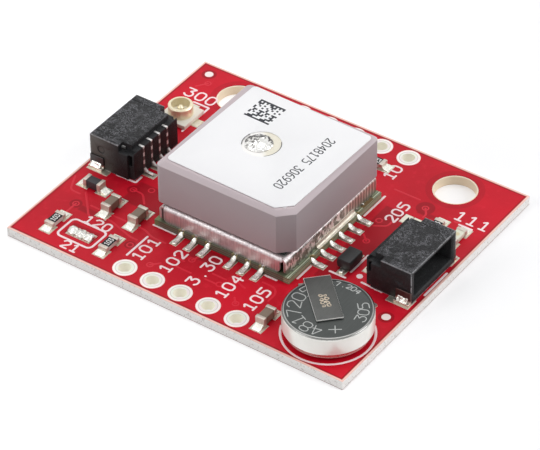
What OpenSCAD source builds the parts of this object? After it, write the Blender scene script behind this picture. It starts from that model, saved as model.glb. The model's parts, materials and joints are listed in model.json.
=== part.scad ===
// Satellite positioning module on a breakout circuit board.
// X runs along the long edge of the board, Y along its short edge, Z up.
// The origin is the centre of the board's underside.

/* [Board] */
// Length of the board along X
board_l = 30.48; // [30.2:0.02:38]
// Width of the board along Y
board_w = 25.4; // [25.2:0.1:32]
// Thickness of the finished board
board_t = 0.8; // [0.6:0.1:1.6]
// Thickness of the solder mask
mask_t = 0.03; // [0.02:0.005:0.05]
// How far a tinned copper land stands above the mask
land_rise = 0.02; // [0.01:0.005:0.04]
// Gap between a land and the edge of its window in the mask
mask_gap = 0.05; // [0.03:0.01:0.08]
// Diameter of a fiducial dot
fiducial_d = 0.7; // [0.5:0.05:0.9]
// Distance of each fiducial from the side edge of the board
fiducial_side = 1.3; // [1:0.1:1.6]
// Distance of the right fiducial from the front edge of the board
fiducial_front = 7.57; // [7.2:0.01:7.8]
// Distance of the left fiducial from the back edge of the board
fiducial_back = 1.25; // [1:0.05:1.6]

/* [Header rows] */
// Number of holes in each row
header_count = 5; // [2:1:5]
// Distance between neighbouring holes
header_pitch = 2.54; // [2:0.01:2.54]
// Diameter of a plated hole
header_hole_d = 1.016; // [0.8:0.004:1.1]
// Width of the tinned ring around a hole
header_ring = 0.43; // [0.3:0.01:0.5]
// Thickness of the copper wall inside a hole
barrel_wall = 0.03; // [0.02:0.005:0.05]
// Distance of each row from its edge of the board
header_edge = 1.27; // [1.1:0.01:1.5]

/* [Mounting holes] */
// Diameter of a mounting hole
mount_d = 3.3; // [3:0.1:3.5]
// Distance between the two mounting holes
mount_span = 20.32; // [20:0.02:24]
// Distance of the holes from the back edge of the board
mount_edge = 2.54; // [2.4:0.01:3]
// Gap between a hole and the mask
mount_mask_gap = 0.12; // [0.05:0.01:0.3]

/* [Receiver substrate] */
// Side of the square substrate
module_w = 12.3; // [11.6:0.1:12.6]
// Thickness of the substrate
module_t = 0.53; // [0.4:0.01:0.8]
// Offset of the receiver from the board's centre along X
module_shift = -0.1; // [-0.3:0.05:0.1]
// Distance between neighbouring edge contacts
edge_pitch = 1.22; // [1.1:0.01:1.27]
// Radius of a half hole in the substrate's edge
edge_hole_r = 0.24; // [0.15:0.01:0.3]
// Thickness of the plating in a half hole
edge_plating = 0.03; // [0.02:0.005:0.05]
// Number of contacts along each side edge
edge_count = 6; // [2:2:8]
// Width of a land under an edge contact
edge_land_w = 0.56; // [0.5:0.01:0.8]
// Length of a land outside the substrate
edge_land_out = 1.12; // [0.8:0.01:1.2]
// Length of a land under the substrate
edge_land_in = 0.5; // [0.3:0.01:0.8]
// Height of the solder fillet at an edge contact
edge_joint_h = 0.42; // [0.2:0.01:0.5]
// Reach of the solder fillet at an edge contact
edge_joint_r = 0.28; // [0.26:0.01:0.35]

/* [Shield can] */
// Height of the can above the substrate
can_h = 1.45; // [1.3:0.05:2]
// Thickness of the folded sheet
can_sheet = 0.2; // [0.1:0.01:0.25]
// Outer radius of the folds
can_bend_r = 0.38; // [0.3:0.01:0.45]
// Ledge of substrate in front of and behind the can
can_ledge_y = 0.15; // [0.05:0.05:0.3]
// Ledge of substrate at the sides of the can
can_ledge_x = 0.38; // [0.2:0.01:0.5]
// Width of the slit between two panels at a corner
can_slit = 0.26; // [0.2:0.01:0.3]
// Offset of the front and back panels from the can's middle along X
can_panel_shift = -0.1; // [-0.15:0.01:0.15]
// Radius of the lower corners of the front and back panels
can_corner_r = 0.4; // [0.2:0.05:0.6]
// Diameter of the hole for the feed pin
can_hole_d = 1.8; // [1.5:0.1:2.4]
// Length of the solder strip along the right side
can_strip_l = 5.1; // [3:0.1:6]
// Width and height of the solder strip
can_strip_w = 0.34; // [0.15:0.01:0.36]

/* [Patch antenna] */
// How much narrower the ceramic block is than the substrate
patch_margin = 0.3; // [0:0.05:0.6]
// Height of the ceramic block
patch_h = 3.8; // [2.5:0.1:6]
// Bevel around the top of the block
patch_bevel = 0.35; // [0.1:0.05:0.5]
// Size of the cut corner
patch_chamfer = 1.08; // [0.6:0.02:1.4]
// Radius of the other three corners
patch_corner_r = 0.4; // [0.1:0.05:0.7]
// Thickness of the adhesive pad under the block
adhesive_t = 0.33; // [0.1:0.01:0.4]
// Distance of the adhesive pad's edge from the block's edge
adhesive_inset = 0.45; // [0.3:0.05:0.8]
// Thickness of the silver electrode
electrode_t = 0.03; // [0.02:0.005:0.05]
// Distance of the electrode's edge from the block's edge
electrode_inset = 0.8; // [0.6:0.05:1.2]
// How much narrower the label is than the ceramic block
label_margin = 1; // [0.9:0.05:1.6]
// Thickness of the label
label_t = 0.06; // [0.04:0.01:0.1]
// Size of the label's cut corner
label_chamfer = 1.05; // [0.6:0.05:1.4]
// Radius of the label's other corners
label_corner_r = 0.35; // [0.1:0.05:0.6]
// Turn of the label on the block in degrees
label_turn = -1.3; // [-2:0.1:2]
// Diameter of the hole in the label
label_hole_d = 3.05; // [2.9:0.05:3.4]
// Distance of the feed pin from the block's centre
feed_offset = 0.8; // [0.5:0.05:1]
// Diameter of the feed pin
feed_d = 0.9; // [0.6:0.05:1.1]
// Clearance around the feed pin in the block
feed_gap = 0.02; // [0.01:0.01:0.05]
// Height of the feed pin above the electrode
feed_rise = 0.16; // [0.1:0.01:0.2]
// Diameter of the solder dome on the feed pin
dome_d = 2.35; // [2:0.05:2.4]
// Height of the solder dome
dome_h = 0.4; // [0.3:0.02:0.6]

/* [Cable sockets] */
// Number of contacts in a socket
socket_ways = 4; // [2:1:4]
// Distance between neighbouring contacts
socket_pitch = 1; // [0.9:0.05:1]
// Distance of the outer contact from the housing's side face
socket_end = 1.5; // [1.4:0.05:1.6]
// Length of the shell of the housing behind its mouth
socket_d = 3.55; // [3.3:0.05:3.8]
// Length of the ribs behind the shell
socket_rib_d = 0.5; // [0.4:0.05:0.6]
// Height of the housing
socket_h = 2.95; // [2.8:0.05:3.2]
// Height of the ribs between the contacts
socket_rib_h = 2.5; // [2.3:0.05:2.6]
// Distance of the mouth from the side edge of the board
socket_inset = 0.54; // [0.45:0.01:0.6]
// Thickness of the side walls
socket_wall = 0.45; // [0.4:0.01:0.5]
// Thickness of the roof
socket_roof = 0.35; // [0.3:0.01:0.4]
// Thickness of the floor
socket_floor = 0.45; // [0.35:0.01:0.5]
// Thickness of the wall that holds the contacts
socket_back = 0.6; // [0.5:0.05:0.8]
// Chamfer around the mouth
socket_lip = 0.12; // [0.05:0.01:0.2]
// Thickness of a contact blade
contact_t = 0.2; // [0.15:0.01:0.25]
// Clearance on each side of a contact blade
contact_gap = 0.02; // [0.01:0.005:0.04]
// Height of a contact's pin inside the cavity
contact_pin_h = 0.32; // [0.2:0.01:0.4]
// Reach of the pins into the cavity
contact_reach = 1.6; // [1:0.1:2]
// Length of a contact's foot behind the ribs
contact_foot = 0.85; // [0.6:0.05:0.9]
// Length of a metal side tab along the housing
tab_l = 1.3; // [1:0.05:1.4]
// Height of a metal side tab
tab_h = 1.1; // [0.8:0.05:1.3]
// Thickness of a metal side tab
tab_t = 0.2; // [0.12:0.01:0.25]
// Reach of a side tab's foot beyond the housing
tab_foot = 0.3; // [0.22:0.01:0.32]
// Size of the land under a side tab along the board's edge and across it
tab_land = 1.9; // [1.6:0.05:2]

/* [Coin cell] */
// Diameter of the cell
cell_d = 6.8; // [6.2:0.1:7]
// Height of the cell
cell_h = 2.1; // [1.4:0.1:3]
// Distance of the cell's centre from the two nearest edges
cell_inset = 3.85; // [3.8:0.01:4]
// Radius of the rounded rim
cell_rim_r = 0.2; // [0.15:0.01:0.4]
// Depth of the recess in the cell's top face
cell_recess = 0.04; // [0.02:0.01:0.08]
// Diameter of the cell's lower cap
cell_cap_d = 5.2; // [4.8:0.1:5.6]
// Height of the lower cap's step
cell_cap_h = 0.3; // [0.2:0.02:0.5]
// Width of the sealing ring around the lower cap
cell_seal = 0.2; // [0.1:0.02:0.22]
// Width of a welded tab
strip_w = 2; // [1.6:0.05:2.1]
// Thickness of a welded tab
strip_t = 0.15; // [0.1:0.01:0.2]
// Direction of the upper tab in degrees
strip_top_turn = 136; // [130:1:140]
// Distance of the upper tab's middle line from the cell's centre
strip_aside = 0.13; // [0:0.01:0.2]
// Direction of the lower tab in degrees
strip_low_turn = 82; // [76:1:88]
// Reach of the upper tab across the cell's face from the centre
strip_grip = 1.3; // [1:0.05:2.2]
// Gap between the cell's side and the upper tab's leg
strip_leg_gap = 0.08; // [0.08:0.01:0.2]
// Length of the upper tab's foot
strip_foot = 1.75; // [1.2:0.05:1.8]
// Reach of the lower tab beyond the cell's side
strip_low_reach = 1.15; // [0.8:0.05:1.2]

/* [Coax socket] */
// Side of the square base
coax_w = 2.6; // [2.2:0.1:2.7]
// Thickness of the base
coax_base_t = 0.35; // [0.3:0.01:0.5]
// Outer diameter of the plated ring
coax_ring_d = 2; // [1.8:0.05:2.1]
// Wall of the plated ring
coax_wall = 0.24; // [0.15:0.01:0.3]
// Height of the socket above its lands
coax_h = 1.25; // [1:0.05:1.5]
// Diameter of the centre pin
coax_pin_d = 0.5; // [0.3:0.02:0.6]
// Distance of the socket's centre from the left edge of the board
coax_side = 2.7; // [2.65:0.05:3]
// Distance of the socket's centre from the back edge of the board
coax_back = 6.95; // [6.8:0.05:7]

/* [Chip parts] */
// Length of a large chip part
chip_l = 1.6; // [1.5:0.05:1.7]
// Width of a large chip part
chip_w = 0.8; // [0.7:0.05:0.9]
// Height of a resistor
resistor_h = 0.45; // [0.35:0.05:0.6]
// Height of a capacitor
capacitor_h = 0.8; // [0.6:0.05:0.9]
// Height of the ferrite bead
ferrite_h = 0.75; // [0.6:0.05:0.9]
// Height of the light emitting diode
led_h = 0.5; // [0.4:0.05:0.7]
// Length of a chip part's metal end
chip_end = 0.3; // [0.2:0.02:0.4]
// Thickness of the metal on a chip part's end
chip_plate = 0.04; // [0.02:0.01:0.06]
// Length of the pair of lands under a chip part
chip_pair_l = 2.8; // [2.5:0.05:2.9]
// Gap between the lands of a pair
chip_pair_gap = 0.8; // [0.7:0.05:0.95]
// Width of a chip part's land
chip_land_w = 1; // [0.95:0.05:1.1]
// Length of the rectifier's body
rectifier_l = 1.7; // [1.5:0.05:1.9]
// Width of the rectifier's body
rectifier_w = 1.25; // [1.1:0.05:1.4]
// Height of the rectifier
rectifier_h = 0.95; // [0.8:0.05:1.1]
// Width of the rectifier's leads
rectifier_lead_w = 0.35; // [0.25:0.05:0.5]
// Thickness of the rectifier's leads
rectifier_lead_t = 0.12; // [0.08:0.01:0.18]
// Reach of the rectifier's leads beyond its body
rectifier_lead_out = 0.42; // [0.35:0.02:0.5]
// Width of one pad of the solder jumper
jumper_pad_w = 0.64; // [0.5:0.02:0.66]
// Length of a jumper's pads
jumper_pad_l = 1; // [0.8:0.05:1.1]
// Gap between the pads of a jumper
jumper_gap = 0.12; // [0.1:0.01:0.2]
// Height of the solder across the jumper
jumper_solder_h = 0.28; // [0.15:0.01:0.35]

/* [Hidden] */

fine = 96;
coarse = 32;
// Extra length of a cut beyond the faces that it goes through
cut = 0.5 * board_t;

// Heights
mask_z = board_t - mask_t;
land_t = mask_t + land_rise;
seat_z = mask_z + land_t;
module_top = seat_z + module_t;
can_top = module_top + can_h;
patch_w = module_w - patch_margin;
label_w = patch_w - label_margin;
patch_z = can_top + adhesive_t;
patch_top = patch_z + patch_h;
electrode_top = patch_top + electrode_t;

// Header rows and mounting holes
front_row_y = -board_w / 2 + header_edge;
back_row_y = board_w / 2 - header_edge;
header_xs = [for (i = [0:header_count - 1]) (i - (header_count - 1) / 2) * header_pitch];
barrel_r = header_hole_d / 2 + barrel_wall;
header_pad_r = header_hole_d / 2 + header_ring;
mount_xs = [-mount_span / 2, mount_span / 2];
mount_y = board_w / 2 - mount_edge;

// Receiver
can_w = module_w - 2 * can_ledge_x;
can_d = module_w - 2 * can_ledge_y;
side_steps = [for (i = [0:edge_count - 1]) (i - (edge_count - 1) / 2) * edge_pitch];
half_count = edge_count / 2;
front_steps = [for (s = [-1, 1]) for (i = [1:half_count]) s * i * edge_pitch];
edge_contacts = concat(
    [for (s = front_steps) [s, 0]], [for (s = side_steps) [s, 90]],
    [for (s = front_steps) [s, 180]], [for (s = side_steps) [s, 270]]);
feed_x = module_shift - feed_offset;
label_x = module_shift + 0.25 * electrode_inset;
label_hole_x = feed_x + 0.3 * feed_offset;

// Cable sockets
socket_w = (socket_ways - 1) * socket_pitch + 2 * socket_end;
mouth_x = board_l / 2 - socket_inset;
socket_total_d = socket_d + socket_rib_d;
contact_ys = [for (i = [0:socket_ways - 1]) (i - (socket_ways - 1) / 2) * socket_pitch];
cavity_d = socket_d - socket_back;
pin_z = (socket_floor + socket_h - socket_roof) / 2;
contact_land_l = contact_foot + 0.4 * contact_foot;
contact_land_w = 3 * contact_t;
socket_turns = [180, 0];

// Coin cell
cell_x = board_l / 2 - cell_inset;
cell_y = -board_w / 2 + cell_inset;
cell_z = seat_z + strip_t;
cell_top = cell_z + cell_h;
strip_leg = cell_d / 2 + strip_leg_gap;
strip_bend_r = 2 * strip_t;

// Chip parts are placed from the nearest edges of the board
left_x = -board_l / 2;
right_x = board_l / 2;
front_y = -board_w / 2;
back_y = board_w / 2;
pullup_side = 2.59;
pullup_step = 5.08;
pullup_front = 2.58;
capacitor_side = 5.1;
capacitor_step = 2.54;
capacitor_front = 6.28;
corner_capacitor_front = 2.35;
corner_capacitor_side = 8.29;
ferrite_side = 2.52;
ferrite_front = 7.55;
back_resistor_side = 11.84;
back_resistor_back = 3.3;
right_resistor_side = 3.79;
led_side = 1.83;
right_pair_back = 7.4;
rectifier_side = 6.8;
rectifier_front = 11.02;
jumper_front = 2.5;
right_jumper_side = 5.84;
right_jumper_back = 7.6;
// Each place is X, Y and the turn of the part's long axis
pullup_places = [
    [left_x + pullup_side, front_y + pullup_front, 90],
    [left_x + pullup_side + pullup_step, front_y + pullup_front, 90]
];
back_resistor_place = [right_x - back_resistor_side, back_y - back_resistor_back, 0];
right_resistor_place = [right_x - right_resistor_side, back_y - right_pair_back, 90];
led_place = [right_x - led_side, back_y - right_pair_back, 90];
capacitor_places = [
    [left_x + capacitor_side, front_y + capacitor_front, 90],
    [left_x + capacitor_side + capacitor_step, front_y + capacitor_front, 90],
    [right_x - corner_capacitor_side, front_y + corner_capacitor_front, 90]
];
ferrite_place = [left_x + ferrite_side, front_y + ferrite_front, 0];
rectifier_place = [right_x - rectifier_side, front_y + rectifier_front, 90];
jumper_place = [left_x + pullup_side + pullup_step / 2, front_y + jumper_front];
right_jumper_place = [right_x - right_jumper_side, back_y - right_jumper_back];
coax_place = [left_x + coax_side, back_y - coax_back];
two_end_places = [
    [pullup_places[0], resistor_h], [pullup_places[1], resistor_h],
    [back_resistor_place, resistor_h], [right_resistor_place, resistor_h],
    [capacitor_places[0], capacitor_h], [capacitor_places[1], capacitor_h],
    [capacitor_places[2], capacitor_h], [ferrite_place, ferrite_h], [led_place, led_h]
];

// A land is X, Y, the turn, its length and its width
chip_land_l = (chip_pair_l - chip_pair_gap) / 2;
chip_land_step = (chip_pair_gap + chip_land_l) / 2;
function along(place, d) = [place[0] + d * cos(place[2]), place[1] + d * sin(place[2])];
function pair_lands(place) = [
    for (s = [-1, 1])
        let (p = along(place, s * chip_land_step))
            [p[0], p[1], place[2], chip_land_l, chip_land_w]
];
edge_land_l = edge_land_in + edge_land_out;
edge_land_mid = module_w / 2 + (edge_land_out - edge_land_in) / 2;
edge_lands = [
    for (c = edge_contacts)
        [module_shift + edge_land_mid * sin(c[1]) + c[0] * cos(c[1]),
         -edge_land_mid * cos(c[1]) + c[0] * sin(c[1]), c[1] + 90, edge_land_l, edge_land_w]
];
contact_land_x = mouth_x - socket_total_d - contact_foot / 2;
tab_land_x = mouth_x - tab_l / 2 - 0.2 * tab_l;
tab_land_w = 0.6 * tab_land;
tab_land_y = socket_w / 2 + tab_foot - 0.3 * tab_land_w;
socket_lands = concat(
    [for (s = [-1, 1]) for (y = contact_ys) [s * contact_land_x, y, 0, contact_land_l, contact_land_w]],
    [for (s = [-1, 1]) for (t = [-1, 1]) [s * tab_land_x, t * tab_land_y, 0, tab_land, tab_land_w]]
);
upper_strip_land_d = strip_leg + strip_t + strip_foot / 2;
upper_strip_land = [
    cell_x + upper_strip_land_d * cos(strip_top_turn) - strip_aside * sin(strip_top_turn),
    cell_y + upper_strip_land_d * sin(strip_top_turn) + strip_aside * cos(strip_top_turn),
    strip_top_turn, strip_foot, strip_w
];
lower_strip_land_d = cell_d / 2 + strip_low_reach / 2;
lower_strip_land = [
    cell_x + lower_strip_land_d * cos(strip_low_turn),
    cell_y + lower_strip_land_d * sin(strip_low_turn), strip_low_turn, strip_low_reach, 0.7 * strip_w
];
rectifier_lead_step = rectifier_l / 2 + rectifier_lead_out / 2;
rectifier_lands = [
    for (s = [-1, 1])
        let (p = along(rectifier_place, s * rectifier_lead_step))
            [p[0], p[1], rectifier_place[2], 1.7 * rectifier_lead_out, 1.8 * rectifier_lead_w]
];
jumper_lands = [
    for (i = [-1:1])
        [jumper_place[0] + i * (jumper_pad_w + jumper_gap), jumper_place[1], 90, jumper_pad_l, jumper_pad_w]
];
right_jumper_lands = [
    for (i = [-1, 1])
        [right_jumper_place[0] + i * (jumper_pad_w + jumper_gap) / 2, right_jumper_place[1], 90,
         jumper_pad_l, jumper_pad_w]
];
coax_foot_w = 0.35 * coax_w;
coax_foot_out = 0.2 * coax_w;
coax_lands = [
    for (a = [0, 90, 270])
        [coax_place[0] + (coax_w + coax_foot_out) / 2 * cos(a),
         coax_place[1] + (coax_w + coax_foot_out) / 2 * sin(a), a, 1.2 * coax_foot_out, coax_foot_w]
];
land_list = concat(
    [for (t = two_end_places) for (l = pair_lands(t[0])) l],
    edge_lands, socket_lands, [upper_strip_land, lower_strip_land],
    rectifier_lands, jumper_lands, right_jumper_lands, coax_lands
);
fiducial_places = [
    [right_x - fiducial_side, front_y + fiducial_front],
    [left_x + fiducial_side, back_y - fiducial_back]
];

// A box that is centred in X and Y and stands on Z = 0
module block(l, w, h) {
    translate([-l / 2, -w / 2, 0])
        cube([l, w, h]);
}

module at_place(place, z) {
    translate([place[0], place[1], z])
        rotate([0, 0, place[2]])
            children();
}

module header_holes(r, z, h) {
    for (x = header_xs)
        for (y = [front_row_y, back_row_y])
            translate([x, y, z])
                cylinder(r = r, h = h, $fn = fine);
}

module mount_holes(r, z, h) {
    for (x = mount_xs)
        translate([x, mount_y, z])
            cylinder(r = r, h = h, $fn = fine);
}

// Laminate with its lower mask, recessed around the lower rings of the plated holes
module board_core() {
    color([0.85, 0.8, 0.68])
        difference() {
            block(board_l, board_w, mask_z);
            header_holes(barrel_r, -cut, board_t + 2 * cut);
            header_holes(header_pad_r, -cut, mask_t + cut);
            mount_holes(mount_d / 2, -cut, board_t + 2 * cut);
        }
}

module mask_top() {
    color([0.78, 0.12, 0.2])
        difference() {
            translate([0, 0, mask_z])
                block(board_l, board_w, mask_t);
            header_holes(header_pad_r, mask_z - cut, mask_t + 2 * cut);
            mount_holes(mount_d / 2 + mount_mask_gap, mask_z - cut, mask_t + 2 * cut);
            for (p = fiducial_places)
                translate([p[0], p[1], mask_z - cut])
                    cylinder(d = fiducial_d, h = mask_t + 2 * cut, $fn = coarse);
            for (l = land_list)
                at_place(l, mask_z - cut)
                    block(l[3] + 2 * mask_gap, l[4] + 2 * mask_gap, mask_t + 2 * cut);
        }
}

// All the tinned copper lands and the two fiducial dots
module solder_lands() {
    color([0.82, 0.82, 0.8]) {
        for (l = land_list)
            at_place(l, mask_z)
                block(l[3], l[4], land_t);
        for (p = fiducial_places)
            translate([p[0], p[1], mask_z])
                cylinder(d = fiducial_d, h = land_t, $fn = coarse);
    }
}

// A plated hole: the wall inside it and the rings on both faces
module header_barrel() {
    rotate_extrude($fn = fine)
        polygon([
            [header_hole_d / 2, 0], [header_pad_r, 0], [header_pad_r, mask_t], [barrel_r, mask_t],
            [barrel_r, mask_z], [header_pad_r, mask_z], [header_pad_r, seat_z], [header_hole_d / 2, seat_z]
        ]);
}

module header_barrels(y) {
    color([0.8, 0.82, 0.76])
        for (x = header_xs)
            translate([x, y, 0])
                header_barrel();
}

module header_barrels_front() {
    header_barrels(front_row_y);
}

module header_barrels_back() {
    header_barrels(back_row_y);
}

// Solder pulled across the three pads of the jumper, with a dip over each gap
module jumper_solder() {
    lobe_r = jumper_pad_l / 2;
    lobe_step = jumper_pad_w + jumper_gap;
    color([0.85, 0.85, 0.84])
        translate([jumper_place[0], jumper_place[1], seat_z])
            scale([1, 1, jumper_solder_h / lobe_r])
                intersection() {
                    union() {
                        for (i = [-1:1])
                            translate([i * lobe_step, 0, 0])
                                sphere(r = lobe_r, $fn = coarse);
                    }
                    block(3 * lobe_step, jumper_pad_l, lobe_r);
                }
}

// Receiver substrate with half holes along its four edges
module receiver_substrate() {
    color([0.42, 0.45, 0.32])
        translate([module_shift, 0, seat_z])
            difference() {
                block(module_w, module_w, module_t);
                for (c = edge_contacts)
                    rotate([0, 0, c[1]])
                        translate([c[0], -module_w / 2, -cut])
                            cylinder(r = edge_hole_r, h = module_t + 2 * cut, $fn = coarse);
            }
}

module edge_plating_rings() {
    color([0.83, 0.7, 0.42])
        translate([module_shift, 0, seat_z])
            for (c = edge_contacts)
                rotate([0, 0, c[1]])
                    translate([c[0], -module_w / 2, 0])
                        rotate_extrude(angle = 180, $fn = coarse)
                            translate([edge_hole_r - edge_plating, 0])
                                square([edge_plating, module_t]);
}

// Solder that fills a half hole and flares out over its land
module edge_fillet() {
    core_r = edge_hole_r - edge_plating;
    toe_h = 0.12 * edge_joint_h;
    waist_r = core_r + 0.3 * (edge_joint_r - core_r);
    cylinder(r = core_r, h = edge_joint_h, $fn = coarse);
    rotate([0, 0, 180])
        rotate_extrude(angle = 180, $fn = coarse)
            polygon([
                [0, 0], [edge_joint_r, 0], [edge_joint_r, toe_h],
                [waist_r, 0.45 * edge_joint_h], [core_r, edge_joint_h], [0, edge_joint_h]
            ]);
}

module edge_solder() {
    color([0.85, 0.85, 0.84])
        translate([module_shift, 0, seat_z])
            for (c = edge_contacts)
                rotate([0, 0, c[1]])
                    translate([c[0], -module_w / 2, 0])
                        edge_fillet();
}

// The inner parts lie on the substrate under the can, at shares of the can's size
chip_shares = [0.44, 0.44, 0.5];
module positioning_chip() {
    color([0.12, 0.12, 0.13])
        translate([module_shift + can_w / 5, -can_d / 5, module_top])
            block(chip_shares[0] * can_w, chip_shares[1] * can_d, chip_shares[2] * can_h);
}

module filter_chip() {
    color([0.75, 0.72, 0.62])
        translate([module_shift - can_w / 4, can_d / 4, module_top])
            block(can_w / 8, can_d / 10, can_h / 3);
}

module crystal_can() {
    color([0.78, 0.76, 0.7])
        translate([module_shift + can_w / 4, can_d / 4, module_top])
            block(can_w / 4, can_d / 6, can_h / 2);
}

module memory_chip() {
    color([0.12, 0.12, 0.13])
        translate([module_shift - can_w / 4, -can_d / 5, module_top])
            block(can_w / 4, can_d / 4, can_h / 3);
}

// Section of a sheet folded down at both ends, standing on Y = 0
module channel_section(span, height) {
    inner_r = can_bend_r - can_sheet;
    flat_l = span - 2 * can_bend_r;
    wall_h = height - can_bend_r;
    translate([-flat_l / 2, height - can_sheet])
        square([flat_l, can_sheet]);
    for (s = [0, 1])
        mirror([s, 0]) {
            translate([span / 2 - can_sheet, 0])
                square([can_sheet, wall_h]);
            translate([flat_l / 2, wall_h])
                intersection() {
                    difference() {
                        circle(r = can_bend_r, $fn = coarse);
                        circle(r = inner_r, $fn = coarse);
                    }
                    square([can_bend_r, can_bend_r]);
                }
        }
}

// Lower corner of a panel that is rounded away
module panel_corner_cut() {
    difference() {
        square([can_corner_r, can_corner_r]);
        translate([can_corner_r, can_corner_r])
            circle(r = can_corner_r, $fn = coarse);
    }
}

// What is cut away at the end of a front or back panel, whose end is X = 0
module panel_end_cut() {
    translate([-can_bend_r, -cut])
        square([can_bend_r, can_h - can_bend_r + cut]);
    panel_corner_cut();
}

// Shield can: one sheet folded down on four sides, with a slit at each end of the
// front and back panels
module shield_can() {
    inner_w = can_w - 2 * can_bend_r;
    panel_end = can_w / 2 - can_sheet - can_slit;
    color([0.78, 0.77, 0.76])
        translate([module_shift, 0, module_top])
            difference() {
                union() {
                    difference() {
                        rotate([90, 0, 0])
                            translate([0, 0, -can_d / 2])
                                linear_extrude(can_d)
                                    channel_section(can_w, can_h);
                        for (s = [0, 1])
                            mirror([0, s, 0]) {
                                translate([-inner_w / 2, -can_d / 2 - cut, can_h - can_bend_r])
                                    cube([inner_w, can_bend_r + cut, can_bend_r + cut]);
                                translate([-can_w / 2 - cut, -can_d / 2, 0])
                                    rotate([90, 0, 90])
                                        linear_extrude(can_w + 2 * cut)
                                            panel_corner_cut();
                            }
                    }
                    difference() {
                        rotate([90, 0, 90])
                            translate([0, 0, -inner_w / 2])
                                linear_extrude(inner_w)
                                    channel_section(can_d, can_h);
                        for (s = [0, 1])
                            translate([can_panel_shift, 0, 0])
                                mirror([s, 0, 0])
                                    translate([-panel_end, can_d / 2 + cut, 0])
                                        rotate([90, 0, 0])
                                            linear_extrude(can_d + 2 * cut)
                                                panel_end_cut();
                    }
                }
                translate([-feed_offset, 0, can_h - can_sheet - cut])
                    cylinder(d = can_hole_d, h = can_sheet + 2 * cut, $fn = fine);
            }
}

// Bright solder along the foot of the can's right side
module shield_solder_strip() {
    color([0.88, 0.88, 0.86])
        translate([module_shift + can_w / 2, can_strip_l / 2 + can_ledge_x, module_top])
            rotate([90, 0, 0])
                linear_extrude(can_strip_l)
                    difference() {
                        square([can_strip_w, can_strip_w]);
                        translate([can_strip_w, can_strip_w])
                            circle(r = 0.8 * can_strip_w, $fn = coarse);
                    }
}

module adhesive_pad() {
    pad_w = can_w - 2 * adhesive_inset;
    color([0.16, 0.2, 0.19])
        translate([module_shift, 0, can_top])
            difference() {
                block(pad_w, can_d - 2 * adhesive_inset, adhesive_t);
                translate([-feed_offset, 0, -cut])
                    cylinder(d = can_hole_d, h = adhesive_t + 2 * cut, $fn = fine);
            }
}

// Square outline with one cut corner at +X -Y and three round ones
module patch_outline(w, chamfer, r) {
    h = w / 2;
    difference() {
        square([w, w], center = true);
        polygon([[h - chamfer, -h], [h - chamfer, -h - cut], [h + cut, -h - cut], [h + cut, -h + chamfer],
                 [h, -h + chamfer]]);
        for (turn = [0, 90, 180])
            rotate(turn)
                translate([h - r, h - r])
                    difference() {
                        square([r + cut, r + cut]);
                        circle(r = r, $fn = coarse);
                    }
    }
}

// Ceramic block of the antenna, bevelled around its top, with a bore for the pin
module patch_ceramic() {
    lower_h = patch_h - patch_bevel;
    skin = patch_bevel / 100;
    top_w = patch_w - 2 * patch_bevel;
    bevel_chamfer = patch_chamfer - patch_bevel * (2 - sqrt(2));
    color([0.6, 0.53, 0.54])
        translate([module_shift, 0, patch_z])
            difference() {
                union() {
                    linear_extrude(lower_h)
                        patch_outline(patch_w, patch_chamfer, patch_corner_r);
                    hull() {
                        translate([0, 0, lower_h])
                            linear_extrude(skin)
                                patch_outline(patch_w, patch_chamfer, patch_corner_r);
                        translate([0, 0, patch_h - skin])
                            linear_extrude(skin)
                                patch_outline(top_w, bevel_chamfer, patch_corner_r);
                    }
                }
                translate([-feed_offset, 0, -cut])
                    cylinder(d = feed_d + 2 * feed_gap, h = patch_h + 2 * cut, $fn = fine);
            }
}

module patch_electrode() {
    side = patch_w - 2 * electrode_inset;
    color([0.85, 0.84, 0.76])
        translate([module_shift, 0, patch_top])
            difference() {
                block(side, side, electrode_t);
                translate([-feed_offset, 0, -cut])
                    cylinder(d = feed_d + 2 * feed_gap, h = electrode_t + 2 * cut, $fn = fine);
            }
}

module patch_label() {
    color([0.97, 0.97, 0.98])
        difference() {
            translate([label_x, 0, electrode_top])
                rotate([0, 0, label_turn])
                    linear_extrude(label_t)
                        patch_outline(label_w, label_chamfer, label_corner_r);
            translate([label_hole_x, 0, electrode_top - cut])
                cylinder(d = label_hole_d, h = label_t + 2 * cut, $fn = fine);
        }
}

// The pin runs from the substrate through the can and the block into the solder dome
module feed_pin() {
    color([0.8, 0.78, 0.7])
        translate([feed_x, 0, module_top])
            cylinder(d = feed_d, h = electrode_top + feed_rise - module_top, $fn = fine);
}

module feed_solder() {
    base_r = dome_d / 2;
    arc_r = (base_r * base_r + dome_h * dome_h) / (2 * dome_h);
    color([0.86, 0.86, 0.85])
        translate([feed_x, 0, electrode_top])
            difference() {
                rotate_extrude($fn = fine)
                    intersection() {
                        translate([0, dome_h - arc_r])
                            circle(r = arc_r, $fn = 2 * fine);
                        square([base_r, dome_h]);
                    }
                translate([0, 0, -cut])
                    cylinder(d = feed_d, h = feed_rise + cut, $fn = fine);
            }
}

// Places a socket's pieces: the mouth is at X = 0 and faces +X
module at_socket(turn, z) {
    rotate([0, 0, turn])
        translate([mouth_x, 0, z])
            children();
}

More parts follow.
